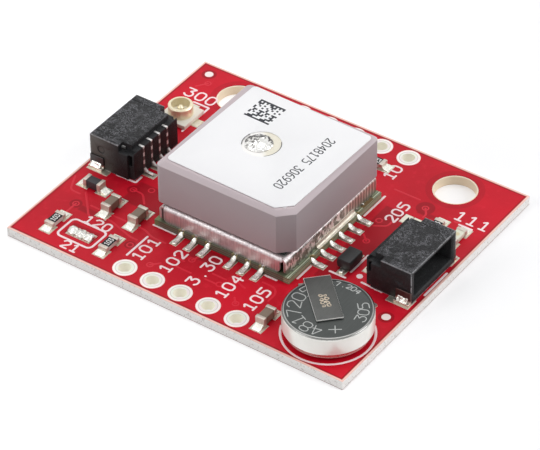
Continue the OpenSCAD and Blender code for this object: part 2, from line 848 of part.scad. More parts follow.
// Moulded housing: a shell around the cavity, with ribs between the contacts behind it
module socket_housing() {
    cavity_w = socket_w - 2 * socket_wall;
    cavity_h = socket_h - socket_floor - socket_roof;
    slot_w = contact_t + 2 * contact_gap;
    rib_w = socket_w - socket_wall;
    pocket_l = 0.24 * socket_d;
    pocket_w = 1.4 * socket_wall;
    pocket_h = 0.22 * socket_h;
    window_l = 0.6 * socket_rib_d;
    window_h = 0.32 * socket_h;
    groove = 0.1 * socket_roof;
    color([0.14, 0.145, 0.15])
        difference() {
            union() {
                translate([-socket_d / 2, 0, 0])
                    block(socket_d, socket_w, socket_h);
                translate([-socket_d - socket_rib_d / 2, 0, 0])
                    block(socket_rib_d, rib_w, socket_rib_h);
            }
            translate([-cavity_d, -cavity_w / 2, socket_floor])
                cube([cavity_d + cut, cavity_w, cavity_h]);
            // Chamfer around the mouth
            hull() {
                translate([-socket_lip, 0, socket_floor])
                    block(socket_lip / 100, cavity_w, cavity_h);
                translate([0, 0, socket_floor - socket_lip])
                    block(socket_lip / 100, cavity_w + 2 * socket_lip, cavity_h + 2 * socket_lip);
            }
            // Slots that the contact blades are pressed into
            for (y = contact_ys) {
                translate([-socket_total_d - cut, y - slot_w / 2, -cut])
                    cube([socket_rib_d + cut, slot_w, socket_rib_h + 2 * cut]);
                translate([-socket_total_d - cut, y - slot_w / 2, pin_z - contact_pin_h / 2 - contact_gap])
                    cube([socket_total_d - cavity_d + 2 * cut, slot_w, contact_pin_h + 2 * contact_gap]);
            }
            for (s = [0, 1])
                mirror([0, s, 0]) {
                    // Pocket in the top rear corner, down to the ribs' height and a little below
                    translate([-socket_d - cut, socket_w / 2 - pocket_w, socket_h - pocket_h])
                        cube([pocket_l + cut, pocket_w + cut, pocket_h + cut]);
                    // Window in the side of the ribs
                    translate([-socket_d - window_l, rib_w / 2 - socket_wall, socket_rib_h - 1.3 * window_h])
                        cube([window_l, socket_wall + cut, window_h]);
                    // Fine step along the top near the side
                    translate([-cavity_d, socket_w / 2 - 1.6 * socket_wall, socket_h - groove])
                        cube([cavity_d + cut, groove, groove + cut]);
                    // Recess that the metal side tab fits in
                    translate([-tab_l - contact_gap, socket_w / 2 - tab_t / 2, -cut])
                        cube([tab_l + contact_gap + cut, tab_t, tab_h + contact_gap + cut]);
                    // Ejector mark on the side
                    translate([-0.3 * socket_d, socket_w / 2 - groove, 0.62 * socket_h])
                        rotate([-90, 0, 0])
                            cylinder(r = pocket_h / 2, h = groove + cut, $fn = coarse);
                }
        }
}

// One stamped blade: a pin in the cavity, a tall tail in its slot and a foot on the board
module socket_contact() {
    tail_x = -socket_total_d;
    tail_front = -socket_d;
    foot_h = contact_t;
    knee = 0.35 * contact_foot;
    pin_low = pin_z - contact_pin_h / 2;
    pin_top = pin_z + contact_pin_h / 2;
    pin_tip = -cavity_d + contact_reach;
    rotate([90, 0, 0])
        translate([0, 0, -contact_t / 2])
            linear_extrude(contact_t)
                polygon([
                    [pin_tip, pin_low + contact_pin_h / 3], [pin_tip, pin_top - contact_pin_h / 3],
                    [pin_tip - contact_pin_h / 2, pin_top], [tail_front, pin_top],
                    [tail_front, socket_rib_h], [tail_x, socket_rib_h], [tail_x, knee + foot_h],
                    [tail_x - knee, foot_h], [tail_x - contact_foot, foot_h], [tail_x - contact_foot, 0],
                    [tail_x - 0.5 * knee, 0], [tail_front, knee], [tail_front, pin_low],
                    [pin_tip - contact_pin_h / 2, pin_low]
                ]);
}

module socket_contacts() {
    color([0.82, 0.81, 0.78])
        for (y = contact_ys)
            translate([0, y, 0])
                socket_contact();
}

// Metal side tabs: a leg in the housing's recess and a foot on the land
module socket_tabs() {
    color([0.8, 0.79, 0.77])
        for (s = [0, 1])
            mirror([0, s, 0])
                translate([-tab_l, 0, 0]) {
                    translate([0, socket_w / 2 - tab_t / 2, 0])
                        cube([tab_l, tab_t, tab_h]);
                    translate([0, socket_w / 2 + tab_t / 2, 0])
                        cube([tab_l, tab_foot, tab_t]);
                }
}

// Solder that wets the side tab's foot and leg
module socket_solder() {
    color([0.87, 0.87, 0.86])
        for (s = [0, 1])
            mirror([0, s, 0])
                translate([-0.85 * tab_l, socket_w / 2 + tab_t / 2, tab_t])
                    rotate([90, 0, 90])
                        linear_extrude(0.7 * tab_l)
                            polygon([
                                [0, 0], [tab_foot, 0],
                                [0.45 * tab_foot, 0.5 * tab_foot], [0, 1.3 * tab_foot]
                            ]);
}

module socket_left_housing() {
    at_socket(socket_turns[0], seat_z)
        socket_housing();
}

module socket_left_contacts() {
    at_socket(socket_turns[0], seat_z)
        socket_contacts();
}

module socket_left_tabs() {
    at_socket(socket_turns[0], seat_z)
        socket_tabs();
}

module socket_left_solder() {
    at_socket(socket_turns[0], seat_z)
        socket_solder();
}

module socket_right_housing() {
    at_socket(socket_turns[1], seat_z)
        socket_housing();
}

module socket_right_contacts() {
    at_socket(socket_turns[1], seat_z)
        socket_contacts();
}

module socket_right_tabs() {
    at_socket(socket_turns[1], seat_z)
        socket_tabs();
}

module socket_right_solder() {
    at_socket(socket_turns[1], seat_z)
        socket_solder();
}

module at_cell(z) {
    translate([cell_x, cell_y, z])
        children();
}

// Sealed cell: a drawn can with a rounded rim, turned in around the lower cap
module cell_can() {
    r = cell_d / 2;
    seal_r = cell_cap_d / 2 + cell_seal;
    curl_r = r - seal_r;
    color([0.8, 0.8, 0.79])
        at_cell(cell_z)
            difference() {
                rotate_extrude($fn = fine)
                    difference() {
                        union() {
                            translate([0, curl_r])
                                square([r, cell_h - curl_r - cell_rim_r]);
                            square([r - cell_rim_r, cell_h]);
                            translate([r - cell_rim_r, cell_h - cell_rim_r])
                                circle(r = cell_rim_r, $fn = coarse);
                        }
                        square([seal_r, cell_cap_h]);
                        difference() {
                            translate([seal_r, -cut])
                                square([curl_r + cut, curl_r + cut]);
                            translate([seal_r, curl_r])
                                circle(r = curl_r, $fn = coarse);
                        }
                    }
                translate([0, 0, cell_h - cell_recess])
                    cylinder(r = r - 1.3 * cell_rim_r, h = cell_recess + cut, $fn = fine);
            }
}

module cell_cap() {
    color([0.75, 0.75, 0.74])
        at_cell(cell_z)
            cylinder(d = cell_cap_d, h = cell_cap_h, $fn = fine);
}

module cell_seal_ring() {
    color([0.2, 0.2, 0.2])
        at_cell(cell_z + 0.2 * cell_cap_h)
            rotate_extrude($fn = fine)
                translate([cell_cap_d / 2, 0])
                    square([cell_seal, 0.8 * cell_cap_h]);
}

// Bend of the welded strip, from +X to +Y around the origin
module strip_bend() {
    intersection() {
        difference() {
            circle(r = strip_bend_r, $fn = coarse);
            circle(r = strip_bend_r - strip_t, $fn = coarse);
        }
        square([strip_bend_r, strip_bend_r]);
    }
}

// Upper tab: welded across the face, folded down beside the cell and out over its land
module cell_upper_tab() {
    drop = cell_top + strip_t - seat_z;
    leg_x = strip_leg + strip_t;
    color([0.42, 0.43, 0.43])
        translate([cell_x, cell_y, seat_z])
            rotate([0, 0, strip_top_turn])
                rotate([90, 0, 0])
                    translate([0, 0, -strip_w / 2 - strip_aside])
                        linear_extrude(strip_w) {
                            translate([-strip_grip, drop - strip_t])
                                square([strip_grip + leg_x - strip_bend_r, strip_t]);
                            translate([leg_x - strip_bend_r, drop - strip_bend_r])
                                strip_bend();
                            translate([strip_leg, strip_bend_r])
                                square([strip_t, drop - 2 * strip_bend_r]);
                            translate([strip_leg + strip_bend_r, strip_bend_r])
                                rotate(180)
                                    strip_bend();
                            translate([strip_leg + strip_bend_r, 0])
                                square([strip_foot, strip_t]);
                        }
}

module cell_lower_tab() {
    color([0.7, 0.7, 0.68])
        translate([cell_x, cell_y, seat_z])
            rotate([0, 0, strip_low_turn])
                translate([-strip_grip, -0.35 * strip_w, 0])
                    cube([strip_grip + cell_d / 2 + strip_low_reach, 0.7 * strip_w, strip_t]);
}

// Moulded base of the coax socket with its raised middle
module coax_base() {
    inner_r = coax_ring_d / 2 - coax_wall;
    color([0.9, 0.88, 0.82])
        translate([coax_place[0], coax_place[1], seat_z])
            difference() {
                union() {
                    block(coax_w, coax_w, coax_base_t);
                    cylinder(r = inner_r, h = 1.5 * coax_base_t, $fn = fine);
                }
                translate([0, 0, -cut])
                    cylinder(d = coax_pin_d, h = coax_h + cut, $fn = fine);
            }
}

// Plated ring with a lip turned in at the top
module coax_ring() {
    outer_r = coax_ring_d / 2;
    lip = 0.35 * coax_wall;
    color([0.85, 0.75, 0.45])
        translate([coax_place[0], coax_place[1], seat_z + coax_base_t])
            rotate_extrude($fn = fine)
                polygon([
                    [outer_r - coax_wall, 0], [outer_r, 0], [outer_r, coax_h - coax_base_t - lip],
                    [outer_r - lip, coax_h - coax_base_t], [outer_r - coax_wall, coax_h - coax_base_t]
                ]);
}

module coax_pin() {
    r = coax_pin_d / 2;
    pin_h = 0.85 * coax_h;
    color([0.88, 0.78, 0.48])
        translate([coax_place[0], coax_place[1], seat_z])
            rotate_extrude($fn = fine)
                polygon([[0, 0], [r, 0], [r, pin_h - r / 2], [r / 2, pin_h], [0, pin_h]]);
}

// Body of a chip part between its metal ends
module chip_body(h) {
    translate([0, 0, chip_plate])
        block(chip_l - 2 * chip_plate, chip_w - 2 * chip_plate, h - 2 * chip_plate);
}

// Metal ends that wrap around a chip part's body
module chip_ends(h) {
    difference() {
        block(chip_l, chip_w, h);
        translate([0, 0, -cut])
            block(chip_l - 2 * chip_end, chip_w + 2 * cut, h + 2 * cut);
        chip_body(h);
    }
}

module resistor(place) {
    color([0.82, 0.8, 0.76])
        at_place(place, seat_z)
            chip_body(resistor_h);
}

module resistor_front_left() {
    resistor(pullup_places[0]);
}

module resistor_front_right() {
    resistor(pullup_places[1]);
}

module resistor_back() {
    resistor(back_resistor_place);
}

module resistor_right() {
    resistor(right_resistor_place);
}

module capacitor(place) {
    color([0.5, 0.42, 0.37])
        at_place(place, seat_z)
            chip_body(capacitor_h);
}

module capacitor_front_left() {
    capacitor(capacitor_places[0]);
}

module capacitor_front_right() {
    capacitor(capacitor_places[1]);
}

module capacitor_corner() {
    capacitor(capacitor_places[2]);
}

module ferrite_bead() {
    color([0.25, 0.24, 0.26])
        at_place(ferrite_place, seat_z)
            chip_body(ferrite_h);
}

module status_led() {
    color([0.9, 0.9, 0.82])
        at_place(led_place, seat_z)
            chip_body(led_h);
}

module chip_end_caps() {
    color([0.82, 0.82, 0.8])
        for (t = two_end_places)
            at_place(t[0], seat_z)
                chip_ends(t[1]);
}

// Solder slope between each chip end and the outer part of its land
module chip_solder() {
    slope_l = (chip_pair_l - chip_l) / 2;
    slope_w = 0.9 * chip_w;
    color([0.87, 0.87, 0.86])
        for (t = two_end_places)
            at_place(t[0], seat_z)
                for (s = [0, 1])
                    mirror([s, 0, 0])
                        translate([chip_l / 2, slope_w / 2, 0])
                            rotate([90, 0, 0])
                                linear_extrude(slope_w)
                                    polygon([
                                        [0, 0], [slope_l, 0], [slope_l / 2, 0.3 * t[1]], [0, 0.75 * t[1]]
                                    ]);
}

// Moulded body of the rectifier, drafted above its leads
module rectifier_body() {
    stand = rectifier_lead_t;
    waist_z = 0.55 * rectifier_h;
    draft_w = 0.06 * rectifier_w;
    color([0.15, 0.16, 0.17])
        at_place(rectifier_place, seat_z)
            rotate([90, 0, 90])
                translate([0, 0, -rectifier_l / 2])
                    linear_extrude(rectifier_l)
                        polygon([
                            [-rectifier_w / 2 + draft_w, stand], [rectifier_w / 2 - draft_w, stand],
                            [rectifier_w / 2, waist_z], [rectifier_w / 2 - draft_w, rectifier_h],
                            [-rectifier_w / 2 + draft_w, rectifier_h], [-rectifier_w / 2, waist_z]
                        ]);
}

// Flat leads that leave the body low down and lie on their lands
module rectifier_leads() {
    lead_l = 0.2 * rectifier_l + rectifier_lead_out;
    color([0.8, 0.8, 0.78])
        at_place(rectifier_place, seat_z)
            for (s = [0, 1])
                mirror([s, 0, 0])
                    translate([0.3 * rectifier_l, -rectifier_lead_w / 2, 0])
                        cube([lead_l, rectifier_lead_w, rectifier_lead_t]);
}

board_core();
mask_top();
solder_lands();
header_barrels_front();
header_barrels_back();
jumper_solder();
receiver_substrate();
edge_plating_rings();
edge_solder();
positioning_chip();
filter_chip();
crystal_can();
memory_chip();
shield_can();
shield_solder_strip();
adhesive_pad();
patch_ceramic();
patch_electrode();
patch_label();
feed_pin();
feed_solder();
socket_left_housing();
socket_left_contacts();
socket_left_tabs();
socket_left_solder();
socket_right_housing();
socket_right_contacts();
socket_right_tabs();
socket_right_solder();
cell_can();
cell_cap();
cell_seal_ring();
cell_upper_tab();
cell_lower_tab();
coax_base();
coax_ring();
coax_pin();
resistor_front_left();
resistor_front_right();
resistor_back();
resistor_right();
capacitor_front_left();
capacitor_front_right();
capacitor_corner();
ferrite_bead();
status_led();
chip_end_caps();
chip_solder();
rectifier_body();
rectifier_leads();
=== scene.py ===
import json
import math
import random

import bpy
from mathutils import Matrix, Vector

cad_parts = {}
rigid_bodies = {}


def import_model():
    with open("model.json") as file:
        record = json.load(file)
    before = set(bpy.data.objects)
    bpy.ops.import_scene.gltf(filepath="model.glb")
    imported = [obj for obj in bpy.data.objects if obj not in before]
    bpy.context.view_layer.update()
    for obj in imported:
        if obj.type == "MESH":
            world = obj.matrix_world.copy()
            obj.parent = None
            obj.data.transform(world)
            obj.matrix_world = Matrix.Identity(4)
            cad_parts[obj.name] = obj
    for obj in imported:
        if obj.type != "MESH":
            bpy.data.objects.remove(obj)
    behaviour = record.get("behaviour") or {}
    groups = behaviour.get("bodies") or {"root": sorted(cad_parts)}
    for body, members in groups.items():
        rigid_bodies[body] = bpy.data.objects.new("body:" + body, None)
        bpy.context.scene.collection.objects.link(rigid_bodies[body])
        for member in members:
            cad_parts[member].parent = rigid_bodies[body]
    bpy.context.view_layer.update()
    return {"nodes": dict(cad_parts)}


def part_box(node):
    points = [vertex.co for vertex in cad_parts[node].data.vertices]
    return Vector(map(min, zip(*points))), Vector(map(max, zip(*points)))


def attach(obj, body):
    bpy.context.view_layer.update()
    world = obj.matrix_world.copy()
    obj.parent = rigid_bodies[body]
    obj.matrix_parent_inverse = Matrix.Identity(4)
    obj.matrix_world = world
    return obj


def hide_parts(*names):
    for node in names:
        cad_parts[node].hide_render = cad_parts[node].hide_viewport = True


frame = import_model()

mm = 0.001
nodes = frame["nodes"]
dice = random.Random(7)
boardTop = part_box("mask_top")[1].z / mm
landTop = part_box("solder_lands")[1].z / mm


# picking and editing helpers
def dropPick():
    if bpy.context.mode != "OBJECT":
        bpy.ops.object.mode_set(mode="OBJECT")
    bpy.ops.object.select_all(action="DESELECT")


def pick(*objects):
    dropPick()
    for item in objects:
        item.select_set(True)
    bpy.context.view_layer.objects.active = objects[-1]
    return objects[-1]


def editAll(item, how="VERT"):
    pick(item)
    bpy.ops.object.mode_set(mode="EDIT")
    bpy.ops.mesh.select_mode(type=how)
    bpy.ops.mesh.select_all(action="SELECT")


def leaveEdit():
    bpy.ops.object.mode_set(mode="OBJECT")


def pickFaces(item, test):
    # leaves edit mode on with only the faces that pass the test selected
    editAll(item, "FACE")
    bpy.ops.mesh.select_all(action="DESELECT")
    leaveEdit()
    for face in item.data.polygons:
        face.select = bool(test(face.center / mm, face.normal))
    bpy.ops.object.mode_set(mode="EDIT")


def pickPoints(item, test):
    editAll(item, "VERT")
    bpy.ops.mesh.select_all(action="DESELECT")
    leaveEdit()
    for point in item.data.vertices:
        point.select = bool(test(point.co / mm))
    bpy.ops.object.mode_set(mode="EDIT")


def modifier(item, kind, **settings):
    pick(item)
    bpy.ops.object.modifier_add(type=kind)
    made = item.modifiers[-1]
    for key, value in settings.items():
        setattr(made, key, value)
    bpy.ops.object.modifier_apply(modifier=made.name)


def settle(item):
    pick(item)
    bpy.ops.object.transform_apply(location=True, rotation=True, scale=True)
    return item


def smooth(item, angle=35):
    pick(item)
    bpy.ops.object.shade_smooth_by_angle(angle=math.radians(angle))


def joined(name, items):
    pick(*items)
    if len(items) > 1:
        bpy.ops.object.join()
    whole = bpy.context.view_layer.objects.active
    whole.name = whole.data.name = name
    return whole


def doubled(names):
    # one merged mesh from copies of CAD nodes
    pick(*[nodes[name] for name in names])
    bpy.ops.object.duplicate()
    copies = list(bpy.context.selected_objects)
    bpy.ops.object.parent_clear(type="CLEAR_KEEP_TRANSFORM")
    copy = joined("copied", copies)
    editAll(copy)
    bpy.ops.mesh.remove_doubles(threshold=1e-6)
    leaveEdit()
    return copy


def resized(item, factor):
    pick(item)
    item.scale = (factor, factor, factor)
    bpy.ops.object.transform_apply(location=False, rotation=False, scale=True)


def lumpy(item, size, depth, voxel=None, rounds=0):
    # melts a piece: sizes in mm, a voxel size fuses it first
    resized(item, 1000)
    if voxel:
        modifier(item, "REMESH", mode="VOXEL", voxel_size=voxel)
    if rounds:
        modifier(item, "SMOOTH", factor=0.5, iterations=rounds)
    clouds = bpy.data.textures.new("lumps", type="CLOUDS")
    clouds.noise_scale, clouds.noise_depth = size, 2
    modifier(item, "DISPLACE", texture=clouds, texture_coords="LOCAL", strength=depth, mid_level=0.5)
    bpy.data.textures.remove(clouds)
    resized(item, 0.001)
    return item


def finishPiece(item, name, paint, replaces=(), angle=35):
    item.name = item.data.name = name
    smooth(item, angle)
    item.data.materials.clear()
    item.data.materials.append(paint.material)
    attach(item, "root")
    if replaces:
        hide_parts(*replaces)
    return item


# shader helpers
def tone(red, green, blue):
    # screen values from 0 to 255
    return tuple(c / 3294.6 if c <= 10.3 else ((c / 255 + 0.055) / 1.055) ** 2.4 for c in (red, green, blue)) + (1,)


class Wire:
    # a node's output; a sum on it adds a Math node
    def __init__(self, paint, socket):
        self.paint, self.socket = paint, socket

    def calc(self, how, first, second=0.0):
        return self.paint.put("ShaderNodeMath", {"operation": how}, {0: first, 1: second})

    def __add__(self, other): return self.calc("ADD", self, other)
    def __radd__(self, other): return self.calc("ADD", other, self)
    def __sub__(self, other): return self.calc("SUBTRACT", self, other)
    def __rsub__(self, other): return self.calc("SUBTRACT", other, self)
    def __mul__(self, other): return self.calc("MULTIPLY", self, other)
    def __rmul__(self, other): return self.calc("MULTIPLY", other, self)
    def __truediv__(self, other): return self.calc("DIVIDE", self, other)
    def __rtruediv__(self, other): return self.calc("DIVIDE", other, self)
    def __pow__(self, other): return self.calc("POWER", self, other)
    def __gt__(self, other): return self.calc("GREATER_THAN", self, other)
    def __lt__(self, other): return self.calc("LESS_THAN", self, other)
    def __abs__(self): return self.calc("ABSOLUTE", self)

    def most(self, other): return self.calc("MAXIMUM", self, other)
    def least(self, other): return self.calc("MINIMUM", self, other)
    def wave(self): return self.calc("SINE", self)


class Paint:
    def __init__(self, name, tree=None, **constants):
        self.spot, self.tree = None, tree
        if tree is None:
            self.material = bpy.data.materials.new(name)
            self.material.use_nodes = True
            self.tree = self.material.node_tree
            self.shader = self.tree.nodes["Principled BSDF"]
        for key, value in constants.items():
            self.shader.inputs[key.replace("_", " ")].default_value = value

    def put(self, kind, settings=None, sockets=None, out=0):
        node = self.tree.nodes.new(kind)
        for key, value in (settings or {}).items():
            if key == "stops":
                ramp = node.color_ramp.elements
                while len(ramp) < len(value):
                    ramp.new(0.5)
                for stop, (where, colour) in zip(ramp, value):
                    stop.position, stop.color = where, colour
            else:
                setattr(node, key, value)
        for key, value in (sockets or {}).items():
            self.link(node.inputs[key], value)
        return Wire(self, node.outputs[out])

    def link(self, socket, value):
        if isinstance(value, Wire):
            self.tree.links.new(value.socket, socket)
        else:
            socket.default_value = value

    def feed(self, **values):
        for key, value in values.items():
            self.link(self.shader.inputs[key.replace("_", " ")], value)
        return self

    def at(self):
        # the point on the object, in millimetres
        if self.spot is None:
            here = self.put("ShaderNodeTexCoord", out="Object")
            self.spot = self.put("ShaderNodeVectorMath", {"operation": "SCALE"}, {0: here, "Scale": 1000.0})
        return self.spot

    def axis(self, letter):
        return self.put("ShaderNodeSeparateXYZ", None, {0: self.at()}, out=letter)

    def shifted(self, place, turn=0.0, stretch=(1, 1, 1)):
        spot = self.put("ShaderNodeVectorMath", {"operation": "SUBTRACT"}, {0: self.at(), 1: place})
        return self.put("ShaderNodeMapping", {"vector_type": "POINT"},
                        {"Vector": spot, "Rotation": (0, 0, math.radians(turn)), "Scale": stretch})

    def noise(self, size, detail=3.0, rough=0.55, on=None, warp=0.0):
        return self.put("ShaderNodeTexNoise", None, {"Vector": on or self.at(), "Scale": 1 / size, "Detail": detail,
                                                     "Roughness": rough, "Distortion": warp})

    def cells(self, size, feature="F1", on=None, out=0):
        return self.put("ShaderNodeTexVoronoi", {"feature": feature}, {"Vector": on or self.at(), "Scale": 1 / size}, out)

    def ease(self, value, low, high, bottom=0.0, top=1.0):
        return self.put("ShaderNodeMapRange", {"interpolation_type": "SMOOTHSTEP"},
                        {"Value": value, "From Min": low, "From Max": high, "To Min": bottom, "To Max": top})

    def reach(self, place, flat=True):
        # distance from a place, seen from above when it is flat
        away = self.put("ShaderNodeVectorMath", {"operation": "SUBTRACT"}, {0: self.at(), 1: place})
        if flat:
            away = self.put("ShaderNodeVectorMath", {"operation": "MULTIPLY"}, {0: away, 1: (1, 1, 0)})
        return self.put("ShaderNodeVectorMath", {"operation": "LENGTH"}, {0: away}, out="Value")

    def patch(self, low, high, soft=0.12):
        # 1 inside a rectangle seen from above, with soft edges
        share = 1.0
        for letter, start, end in zip("XY", low, high):
            along = self.axis(letter)
            share = self.ease(along, start - soft, start + soft) * self.ease(along, end + soft, end - soft) * share
        return share

    def mix(self, first, second, share, how="MIX"):
        return self.put("ShaderNodeMix", {"data_type": "RGBA", "blend_type": how},
                        {0: share, 6: first, 7: second}, out=2)

    def bump(self, height, depth, strength=1.0):
        self.feed(Normal=self.put("ShaderNodeBump", None,
                                  {"Strength": strength, "Distance": depth * mm, "Height": height}))
        return self

    def use(self, *names):
        for name in names:
            data = nodes[name].data
            data.materials.clear()
            data.materials.append(self.material)
            smooth(nodes[name], 30)
        return self


# camera, lamps and floor
shotValues = {"turn": 35.514, "rise": 39.248, "roll": -0.704, "distance": 240.555, "lens": 212.03,
              "shiftX": 0.0007, "shiftY": -0.0246, "aim": (0, 0, 0.8)}


def placeCamera(values):
    turn, rise, roll = (math.radians(values[key]) for key in ("turn", "rise", "roll"))
    back = Vector((math.sin(turn) * math.cos(rise), -math.cos(turn) * math.cos(rise), math.sin(rise)))
    side = Vector((0, 0, 1)).cross(back).normalized()
    up = back.cross(side)
    across = side * math.cos(roll) + up * math.sin(roll)
    upward = up * math.cos(roll) - side * math.sin(roll)
    dropPick()
    bpy.ops.object.camera_add(location=(Vector(values["aim"]) + back * values["distance"]) * mm)
    camera = bpy.context.object
    camera.rotation_euler = Matrix((across, upward, back)).transposed().to_euler()
    camera.data.sensor_width = 36
    camera.data.lens = values["lens"]
    camera.data.shift_x, camera.data.shift_y = values["shiftX"], values["shiftY"]
    camera.data.clip_start, camera.data.clip_end = 0.005, 20
    bpy.context.scene.camera = camera


lampValues = [
    # place in metres, size, watts
    {"name": "leftLamp", "place": (-0.26, -0.40, 0.32), "size": 0.30, "watts": 0.80},
    {"name": "rightLamp", "place": (0.42, 0.24, 0.30), "size": 0.30, "watts": 1.2},
    {"name": "topLamp", "place": (-0.10, 0.12, 0.60), "size": 0.40, "watts": 0.70},
]
# the sky is dimmer low down in one direction, in front of the object's nearest corner
worldValues = {"top": 0.64, "low": 0.50, "dim": 0.85, "dimTowards": (0.581, -0.814, 0)}
floorValues = {"colour": tone(226, 226, 228), "glowLeft": 0.38, "glowRight": 0.24}


def placeLamps():
    for values in lampValues:
        dropPick()
        bpy.ops.object.light_add(type="AREA", location=values["place"])
        lamp = bpy.context.object
        lamp.name = values["name"]
        lamp.data.size = values["size"]
        lamp.data.energy = values["watts"]
        lamp.rotation_euler = Vector(values["place"]).to_track_quat("Z", "Y").to_euler()


def seenShare(paint):
    # 1 where the camera, a mirror or a glass looks
    seen = paint.put("ShaderNodeLightPath", out="Is Camera Ray")
    for ray in ("Is Glossy Ray", "Is Transmission Ray"):
        seen = seen.most(paint.put("ShaderNodeLightPath", out=ray))
    return seen


def makeWorld(values):
    world = bpy.data.worlds.new("studioWorld")
    bpy.context.scene.world = world
    world.use_nodes = True
    paint = Paint("studioWorld", world.node_tree)
    towards = paint.put("ShaderNodeTexCoord", out="Generated")
    facing = paint.put("ShaderNodeSeparateXYZ", None, {0: towards}, out="Z")
    front = paint.put("ShaderNodeVectorMath", {"operation": "DOT_PRODUCT"}, {0: towards, 1: values["dimTowards"]},
                      out="Value")
    sky = paint.ease(facing, -0.1, 0.9, values["low"], values["top"])
    sky = sky * (1 - values["dim"] * paint.ease(front, 0.2, 0.95))
    seen = seenShare(paint)
    back = world.node_tree.nodes["Background"]
    paint.link(back.inputs["Strength"], sky * (1 - seen) + seen)
    back.inputs["Color"].default_value = (1, 1, 1, 1)


def makeFloor(values):
    dropPick()
    bpy.ops.mesh.primitive_circle_add(vertices=96, radius=3, fill_type="NGON", location=(0, 0, 0))
    floor = bpy.context.object
    floor.name = "studioFloor"
    paint = Paint("studioFloor", Roughness=0.9, Specular_IOR_Level=0.1)
    speck = paint.noise(60, 2)
    paint.feed(Base_Color=paint.mix(values["colour"], tone(230, 230, 231), speck))
    rightward = paint.put("ShaderNodeVectorMath", {"operation": "DOT_PRODUCT"}, {0: paint.at(), 1: (0.81, 0.58, 0)}, out="Value")
    # the glow is weaker towards the right: painted shade on the floor, on the side where the object's shadow falls
    share = paint.ease(rightward, -4, 18, values["glowLeft"], values["glowRight"])
    glow = paint.put("ShaderNodeEmission", None, {"Color": (1, 1, 1, 1), "Strength": seenShare(paint) * share})
    both = paint.put("ShaderNodeAddShader", None, {0: Wire(paint, paint.shader.outputs[0]), 1: glow})
    paint.tree.links.new(both.socket, paint.tree.nodes["Material Output"].inputs["Surface"])
    floor.data.materials.append(paint.material)


bpy.context.scene.view_settings.view_transform = "Standard"
placeCamera(shotValues)
placeLamps()
makeWorld(worldValues)
makeFloor(floorValues)
print("camera, lamps and floor are placed")


# finishes
maskValues = {
    "copper": tone(207, 10, 38), "bare": tone(158, 0, 24), "deep": tone(146, 0, 20), "lit": tone(222, 32, 56),
    "holes": [(-10.16, 10.16), (10.16, 10.16)],
    # rectangles darkened to the bare colour, as low and high corners: most have no copper under the mask, and the two
    # between the module and the right socket are painted shade
    "clear": [((-10.2, -5.2), (-6.5, -2.6)), ((6.9, -0.6), (9.6, 5.6)), ((6.9, -4.2), (9.2, -0.9)),
              ((-12.2, -8.0), (-9.4, -7.4)), ((9.2, 6.2), (10.9, 6.6)), ((-2.2, -7.6), (0.4, -6.3)),
              ((-11.4, -10.75), (-8.9, -9.35))],
    # bare rounds about covered holes, and a round of painted shade about each of the two fiducials, as centre and
    # radius
    "rounds": [((9.5, 7.0), 0.74), ((-12.7, -7.5), 0.5), ((-10.1, -3.7), 0.5), ((-6.35, -9.1), 0.45),
               ((13.94, -5.13), 0.6), ((-13.94, 11.45), 0.6)],
}


def makeMask(values):
    paint = Paint("redMask", IOR=1.5, Specular_IOR_Level=0.22)
    pour = paint.ease(paint.noise(5.5, 2, 0.5, paint.shifted((3.0, 1.0, 0))), 0.40, 0.62)
    fine = paint.noise(0.10, 4, 0.7)
    blotch = paint.noise(0.7, 3, 0.6)
    red = paint.mix(values["bare"], values["copper"], 0.72 + 0.28 * pour)
    red = paint.mix(red, values["lit"], paint.ease(blotch, 0.52, 0.78) * 0.35)
    # the rectangles between the module and the right socket are painted shade; the others are mask without copper under
    # it
    for low, high in values["clear"]:
        red = paint.mix(red, values["bare"], paint.patch(low, high, 0.1) * 0.8)
    # the rounds about the fiducials at (13.94, -5.13) and (-13.94, 11.45) are painted shade
    for place, radius in values["rounds"]:
        red = paint.mix(red, values["bare"], paint.ease(paint.reach((*place, 0)), radius + 0.05, radius - 0.05) * 0.9)
    for x, y in values["holes"]:
        reach = paint.reach((x, y, 0))
        ring = paint.ease(reach, 1.84, 1.76) * 0.9
        red = paint.mix(red, values["bare"], ring.most(paint.ease(reach, 2.32, 2.26) * 0.35))
    red = paint.mix(red, values["deep"], paint.ease(fine, 0.55, 0.8) * 0.35)
    # the copper stops short of the board's edge, and a pale line shows where the mask ends
    low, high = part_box("mask_top")
    for inset, soft, colour in ((0.30, 0.05, values["bare"]), (0.16, 0.04, tone(250, 206, 194))):
        inside = paint.patch((low.x / mm + inset, low.y / mm + inset), (high.x / mm - inset, high.y / mm - inset), soft)
        red = paint.mix(colour, red, inside)
    paint.feed(Base_Color=red, Roughness=0.34 + 0.2 * fine)
    return paint.bump(fine * 0.5 + blotch * 0.9, 0.008)


def makeTrace():
    paint = Paint("coveredCopper", IOR=1.5, Specular_IOR_Level=0.3)
    fine = paint.noise(0.09, 4, 0.7)
    paint.feed(Base_Color=paint.mix(tone(224, 38, 60), tone(204, 16, 40), fine), Roughness=0.30 + 0.14 * fine)
    return paint.bump(fine, 0.004)


